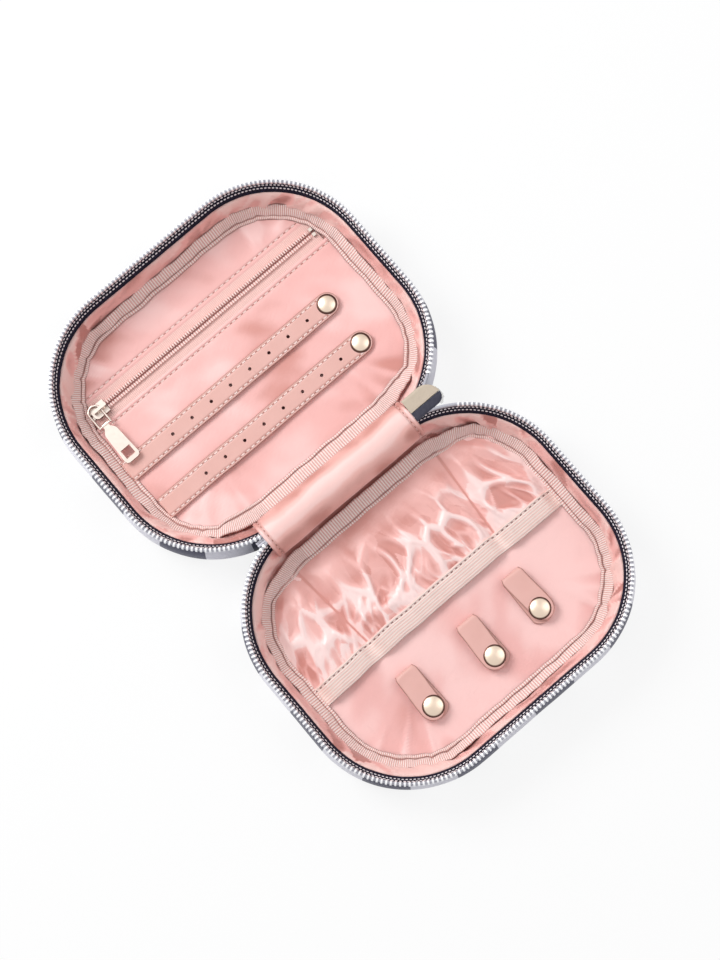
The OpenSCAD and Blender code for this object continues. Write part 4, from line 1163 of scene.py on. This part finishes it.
def tab(name, seed):
    back_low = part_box(name + "_back")[0]
    flap_low, flap_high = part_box(name + "_flap")
    cap_low, cap_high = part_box(name + "_cap")
    x0, snap = (cap_low.x + cap_high.x) / 2 / MM, -(cap_low.y + cap_high.y) / 2 / MM
    r_flap = (flap_high.x - flap_low.x) / 2 / MM
    r_back = -back_low.y / MM - snap
    z_back, z_flap = back_low.z / MM + 0.5, flap_high.z / MM - 0.5
    loop_r = (z_flap - z_back) / 2
    fold = -flap_high.y / MM
    run1, turn = snap + r_back - fold, math.pi * loop_r
    run2 = snap + r_flap - fold
    total = run1 + turn + run2
    lean = 0.9 if name == "right_tab" else -0.9

    def path(d):
        """At a distance d along the strip: distance from the case's fold, height, round end's radius."""
        if d < run1:
            return fold + run1 - d, z_back, r_back
        if d < run1 + turn:
            a = (d - run1) / loop_r
            return fold - loop_r * math.sin(a) * 1.25, z_back + loop_r * (1 - math.cos(a)), 0
        return fold + d - run1 - turn, z_flap, r_flap

    def place(u, v):
        bow = (1 - math.cos(math.pi * min(u, ENDS) / ENDS / 2)) * ENDS + max(0, u - ENDS)
        if u > 1 - ENDS:
            bow = 1 - ENDS + math.sin(math.pi / 2 * (u - 1 + ENDS) / ENDS) * ENDS
        y, z, r = path(bow * total)
        half = r_flap
        if r and y > snap:
            half = min(half, math.sqrt(max(r * r - (y - snap) ** 2, 0.01)))
        half -= 0.7 * (1 - ease(-loop_r * 1.25, 1.0, y - fold)) ** 2
        slip = lean * ease(0, snap - fold, y - fold) * (1 if z > z_flap - 0.5 else -0.6)
        z += 0.25 * waves(y, v * 9, seed, 9) * (z > z_flap - 0.1) * ease(0, 5, snap - y - 4)
        z -= 0.25 * (2 * abs(v)) ** 6 * (1 if z > z_flap - 0.5 else 0)
        return x0 + slip + 2 * v * half, -y, z

    obj = to_object(strip(150, 12, 2 * r_flap, total, place), name + "_leather", TAB_LEATHER, away)
    thicken(obj, 0.95, 0)
    bake(obj)
    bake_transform(obj)
    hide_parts(name + "_back", name + "_flap")
    return round(total, 1)


print("tab strips:", tab("left_tab", 91), tab("middle_tab", 93), tab("right_tab", 97), "mm long")

# %% [markdown]
# ## Elastic pocket
# A satin sheet, wider than its place, is gathered into a ribbed elastic band and sewn down in two seams and
# along its near edge. It crumples into facets with glossy crests between them, small ones and fine folds at
# the band and large ones further in, and lies calm along the near edge. A simulation would need a very fine
# mesh to fold that sharply, and a cellular pattern, warped by smooth noise, gives such facets directly. The
# crests' shine and the facets' shade are also painted into the colour: painted highlights on the crests, a
# painted light for each facet, and painted shade near the band and along the seams. The sheet and its band
# stand open over the floor in three bays.

# %% Elastic pocket and band
band_low, band_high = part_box("elastic_band")
BAND_Y, BAND_END = -band_high.y / MM, -band_low.y / MM
BAND_RIBS = 8
SEAM_X, SEAM_FLARE = 36.5, 4.0  # a seam's place at the band, and how much further out it ends
POCKET_NEAR = 16.5


def seam_at(x, share):
    """Distance from a dividing seam. share is 0 at the near edge and 1 at the band."""
    return abs(SEAM_X + SEAM_FLARE * (1 - share) - abs(x))


def bay(x, half, share):
    """1 in the middle of a bay, 0 at its seams."""
    return ease(0, 6, seam_at(x, share)) * ease(0, 6, half - abs(x))


def fold(phase):
    """A fold's shape across it: up over a fifth of it and slowly down again."""
    t = phase % 1
    return ease(0, 0.2, t) * (1 - ease(0.2, 1, t))


def pocket_place(u, v):
    y = POCKET_NEAR + (BAND_Y + 2 - POCKET_NEAR) * v
    half = side_x(y, 14.6)
    x = (2 * u - 1) * half
    share = min(1.0, v)
    open_ = bay(x, half, share)
    across = x + 5 * waves(x, y, 101, 16) + 0.35 * x * (1 - share)
    down = y + 5 * waves(x, y, 107, 16)
    crumpled = ease(0.1, 0.55, share)
    crest, facet_light = facets(across, down, 108, 12, 1.7)
    small_crest, small_facet_light = facets(across, down, 109, 5.5, 2.4)
    crest *= crumpled
    small_crest *= ease(0.4, 0.9, share)
    middle = fold(across / 6.5 + waves(x, y * 0.6, 103, 9)) * ease(0.45, 0.95, share)
    fine = fold(across / 2.9 + 0.7 * waves(x, y * 0.3, 104, 5)) * ease(0.8, 1, share)
    puffs = waves(x, y, 105, 14)
    body = 1.5 * crest + 0.7 * small_crest + 0.6 * middle + 0.5 * fine + puffs
    rise = 2.2 * ease(0, 0.3, share) * open_
    pucker = 0.3 * waves(x * 0.6, y, 106, 3.2) * (1 - open_)
    held = (0.12 + 0.88 * open_) * ease(0, 0.2, share) * (1 - 0.5 * ease(0.82, 1, share))
    z = PANEL_TOP + 0.45 + rise + held * body + pucker
    # painted light: painted highlights on crests and folds, a painted light for each facet, and painted shade
    # near the band
    painted_light = 0.25 + crest**2 + 0.6 * small_crest**2 + 0.4 * middle**3 + 0.35 * fine**2 + 0.3 * puffs
    painted_light += (0.5 * facet_light + 0.5 * small_facet_light) * crumpled - 0.45 * ease(0.55, 1, share)
    sewn_line = math.exp(-((seam_at(x, share) / 0.5) ** 2))
    z -= 0.5 * sewn_line
    # painted shade along the seams
    painted_light = painted_light * (1 - sewn_line) - 0.3 * sewn_line
    return x, -y, max(z, PANEL_TOP + 0.25), painted_light


pocket = to_object(flat_grid(300, 110, pocket_place), "elastic_pocket_cloth", CRINKLED)
thicken(pocket, 0.25)
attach(pocket, "base")
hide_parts("elastic_pocket")


def band_place(u, v):
    half = side_x(BAND_Y, 14.8)
    x = (2 * u - 1) * half
    w = v + 0.5
    y = BAND_Y + (BAND_END - BAND_Y) * w + 0.45 * waves(x, 0, 111, 12) + 0.9 * ease(28, 60, abs(x))
    open_ = bay(x, half, 1)
    ripple = 0.22 * waves(x, w * 2, 112, 2.7) + 0.3 * waves(x, w * 4, 113, 8)
    rib = 0.1 * math.sin(w * 2 * math.pi * BAND_RIBS)
    edge = -0.35 * (2 * abs(v)) ** 6
    stand = 0.9 + (4.0 - 2.3 * w) * open_
    return x, -y, PANEL_TOP + stand + ripple * (0.4 + 0.6 * open_) + rib + edge


band = to_object(strip(300, 28, -(BAND_END - BAND_Y), 134, band_place), "elastic_band_ribbon", BAND)
thicken(band, 0.8)
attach(band, "base")
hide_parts("elastic_band")
print("pocket area", round(surface_area(pocket) / 2, 5), "m2, band", round(surface_area(band) / 2, 5), "m2")

# %% [markdown]
# ## Padded roll over the fold
# A tube of satin filled with padding hides the fold. It is stitched across near both ends. A cylinder would
# show its straight sides and hard ends. One grid wraps round the padding instead, swells unevenly, dips at
# the stitches and closes at the ends.

# %% Roll
roll_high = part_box("lid_spine_roll")[1]
ROLL_HALF, ROLL_R = roll_high.x / MM, roll_high.y / MM - 0.15
ROLL_Z = roll_high.z / MM - ROLL_R
ROLL_SIDE, ROLL_TOP = 9.55, 24.95  # how far the padding may swell
ROLL_WRAP = math.radians(108)  # from the top to where the cloth ends below, on each side
OPEN, CLOSED = 0.94, 0.06  # the shares of the grid that are the tube and the closed ends


def roll_place(u, v):
    t = abs(2 * u - 1)
    x = ROLL_HALF * min(1, t / OPEN)
    d = ROLL_HALF - x
    r = ROLL_R - 0.75 * math.exp(-((d - 2.4) / 0.55) ** 2) - 0.35 * math.exp(-(d / 0.35) ** 2)
    if t > OPEN:
        r *= 1 - (t - OPEN) / CLOSED
    x = math.copysign(x - max(0, t - OPEN) * 9, 2 * u - 1)
    a = 2 * v * ROLL_WRAP
    body = ease(2.6, 12, d)
    r += body * (0.22 * waves(x, a * 9, 121, 19) + 0.10 * waves(x, a * 9, 122, 7))
    r += (1 - body) * 0.16 * waves(x, a * 9, 123, 3.2) * (t < OPEN)
    y, z = r * math.sin(a), ROLL_Z + r * math.cos(a)
    # painted highlight along the crown and painted shade towards the stitched ends
    shine = 1.25 * math.exp(-((a + 0.15 * waves(x, 0, 124, 20)) / 0.42) ** 2) - 0.2 * (1 - body)
    painted_light = 0.28 + shine + 0.5 * waves(x, a * 6, 125, 9)
    return x, max(-ROLL_SIDE, min(ROLL_SIDE, y)), min(z, ROLL_TOP), painted_light


roll = to_object(strip(190, 56, 38, 2 * ROLL_HALF, roll_place), "spine_roll_cloth", ROLL,
                 lambda p: Vector((0, p.y, p.z - ROLL_Z * MM)))
# The stitches are drawn at a distance from the middle, so the UV's X is the place along the roll.
uv = roll.data.uv_layers["cloth"].data
for loop in roll.data.loops:
    uv[loop.index].uv = (roll.data.vertices[loop.vertex_index].co.x, uv[loop.index].uv[1])
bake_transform(roll)
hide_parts("base_spine_roll", "lid_spine_roll")
print("roll radius", round(ROLL_R, 2), "mm")

# %% [markdown]
# ## End tabs
# A scrap of white cloth, painted tan as painted shade, and one of charcoal weave cap the end of the main zip.
# Each is a small plate of cloth with a round outer corner. A bevelled plate would do, but a grid can also dip
# at its edges and ripple.

# %% End tabs


def end_tab(node_name, side, finish):
    low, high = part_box(node_name)
    reach = (high.y - low.y) / MM
    length, top = (high.x - low.x) / MM, high.z / MM

    def place(u, v):
        x = length * math.sin(math.pi / 2 * min(1, u))
        past = max(0, x - (length - reach))
        depth = max(math.sqrt(max(reach**2 - past**2, 0)), 0.05)
        y = GAP + depth * v
        edge = min(depth - y, length - x, reach)
        z = top - 0.3 * (1 - ease(0, 0.9, edge)) + 0.12 * waves(x, y, 131 + side, 4) - 0.1
        return low.x / MM + x, side * y, z

    obj = to_object(flat_grid(60, 28, place), node_name + "_cloth", finish)
    thicken(obj, 0.7)
    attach(obj, node_name.split("_")[0])
    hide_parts(node_name)


end_tab("lid_end_tab", 1, SHADED_WHITE_TAB)
end_tab("base_end_tab", -1, CHARCOAL)
print("end tabs:", SHADED_WHITE_TAB.name, CHARCOAL.name)

# %% [markdown]
# ## Stage, light and camera
# The case lies on a plain white floor. The floor and the world are white only for rays that see them
# straight on, in metal or through glass, so a white background puts no extra light on the case. Soft light
# comes from the world, from a broad window-like lamp on the lid's side and from a weaker one opposite. The
# camera looks down on the case, turned so that the lid half is at the upper left.

# %% White background


def by_sight(tree):
    """1 for rays that see the background straight on, in metal or through glass, and 0 for rays that light
    the case."""
    rays = tree.nodes.new("ShaderNodeLightPath").outputs
    seen = calc(tree, "MAXIMUM", rays["Is Camera Ray"], rays["Is Glossy Ray"])
    return calc(tree, "MAXIMUM", seen, rays["Is Transmission Ray"])


bm = bmesh.new()
bmesh.ops.create_grid(bm, x_segments=1, y_segments=1, size=3.0)
bmesh.ops.translate(bm, vec=Vector((0, 0, -0.0002)), verts=bm.verts[:])
floor_mat = bpy.data.materials.new("floor")
floor_mat.use_nodes = True
t = floor_mat.node_tree
shader = t.nodes["Principled BSDF"]
feed(t, shader, Base_Color=(0.9, 0.9, 0.9, 1), Roughness=0.8)
lit = node(t, "Emission", {"Color": (1, 1, 1, 1), "Strength": 1.0})
whiteness = 0.85  # the rest shows the case's shadow
white = calc(t, "MULTIPLY", by_sight(t), whiteness)
shown = node(t, "MixShader", {0: white, 1: shader.outputs[0], 2: lit})
t.links.new(shown, t.nodes["Material Output"].inputs["Surface"])
floor = to_object(bm, "floor", floor_mat)

world = bpy.data.worlds.new("studio")
bpy.context.scene.world = world
world.use_nodes = True
t = world.node_tree
background = t.nodes["Background"]
t.links.new(tint(t, by_sight(t), (0.50, 0.50, 0.51, 1), (1, 1, 1, 1)), background.inputs["Color"])
background.inputs["Strength"].default_value = 1.0
print("stage:", floor.name, world.name)

# %% Lamps


def lamp(name, place, size, power):
    """A round lamp that is aimed at the case."""
    data = bpy.data.lights.new(name, "AREA")
    data.shape = "DISK"
    data.size = size
    data.energy = power
    obj = bpy.data.objects.new(name, data)
    bpy.context.scene.collection.objects.link(obj)
    obj.location = place
    obj.rotation_euler = (-Vector(place)).to_track_quat("-Z", "Y").to_euler()


lamp("window", (-0.25, 0.75, 0.75), 0.6, 8.6)
lamp("fill", (0.6, -0.3, 0.8), 0.7, 1.8)
print("lamps:", [lamp_data.name for lamp_data in bpy.data.lights])

# %% Camera
SENSOR = 36.0
FOCAL_SHARE = 2200 / 960  # the focal length as a share of the frame's height
CAMERA_PLACE = Vector((-50.42, -130.06, 967.9))
RIGHT = Vector((0.76, -0.6488, -0.0387))
DOWN = Vector((-0.6472, -0.75, -0.1363))
AHEAD = Vector((0.0594, 0.1287, -0.9899))
camera = bpy.data.objects.new("camera", bpy.data.cameras.new("camera"))
bpy.context.scene.collection.objects.link(camera)
camera.data.sensor_width = SENSOR
camera.data.lens = SENSOR * FOCAL_SHARE
turn = Matrix((RIGHT, -DOWN, -AHEAD)).transposed().to_4x4()
camera.matrix_world = Matrix.Translation(CAMERA_PLACE * MM) @ turn
scene = bpy.context.scene
scene.camera = camera
scene.view_settings.view_transform = "Standard"
print("camera", [round(v, 3) for v in camera.location], "lens", round(camera.data.lens, 1))
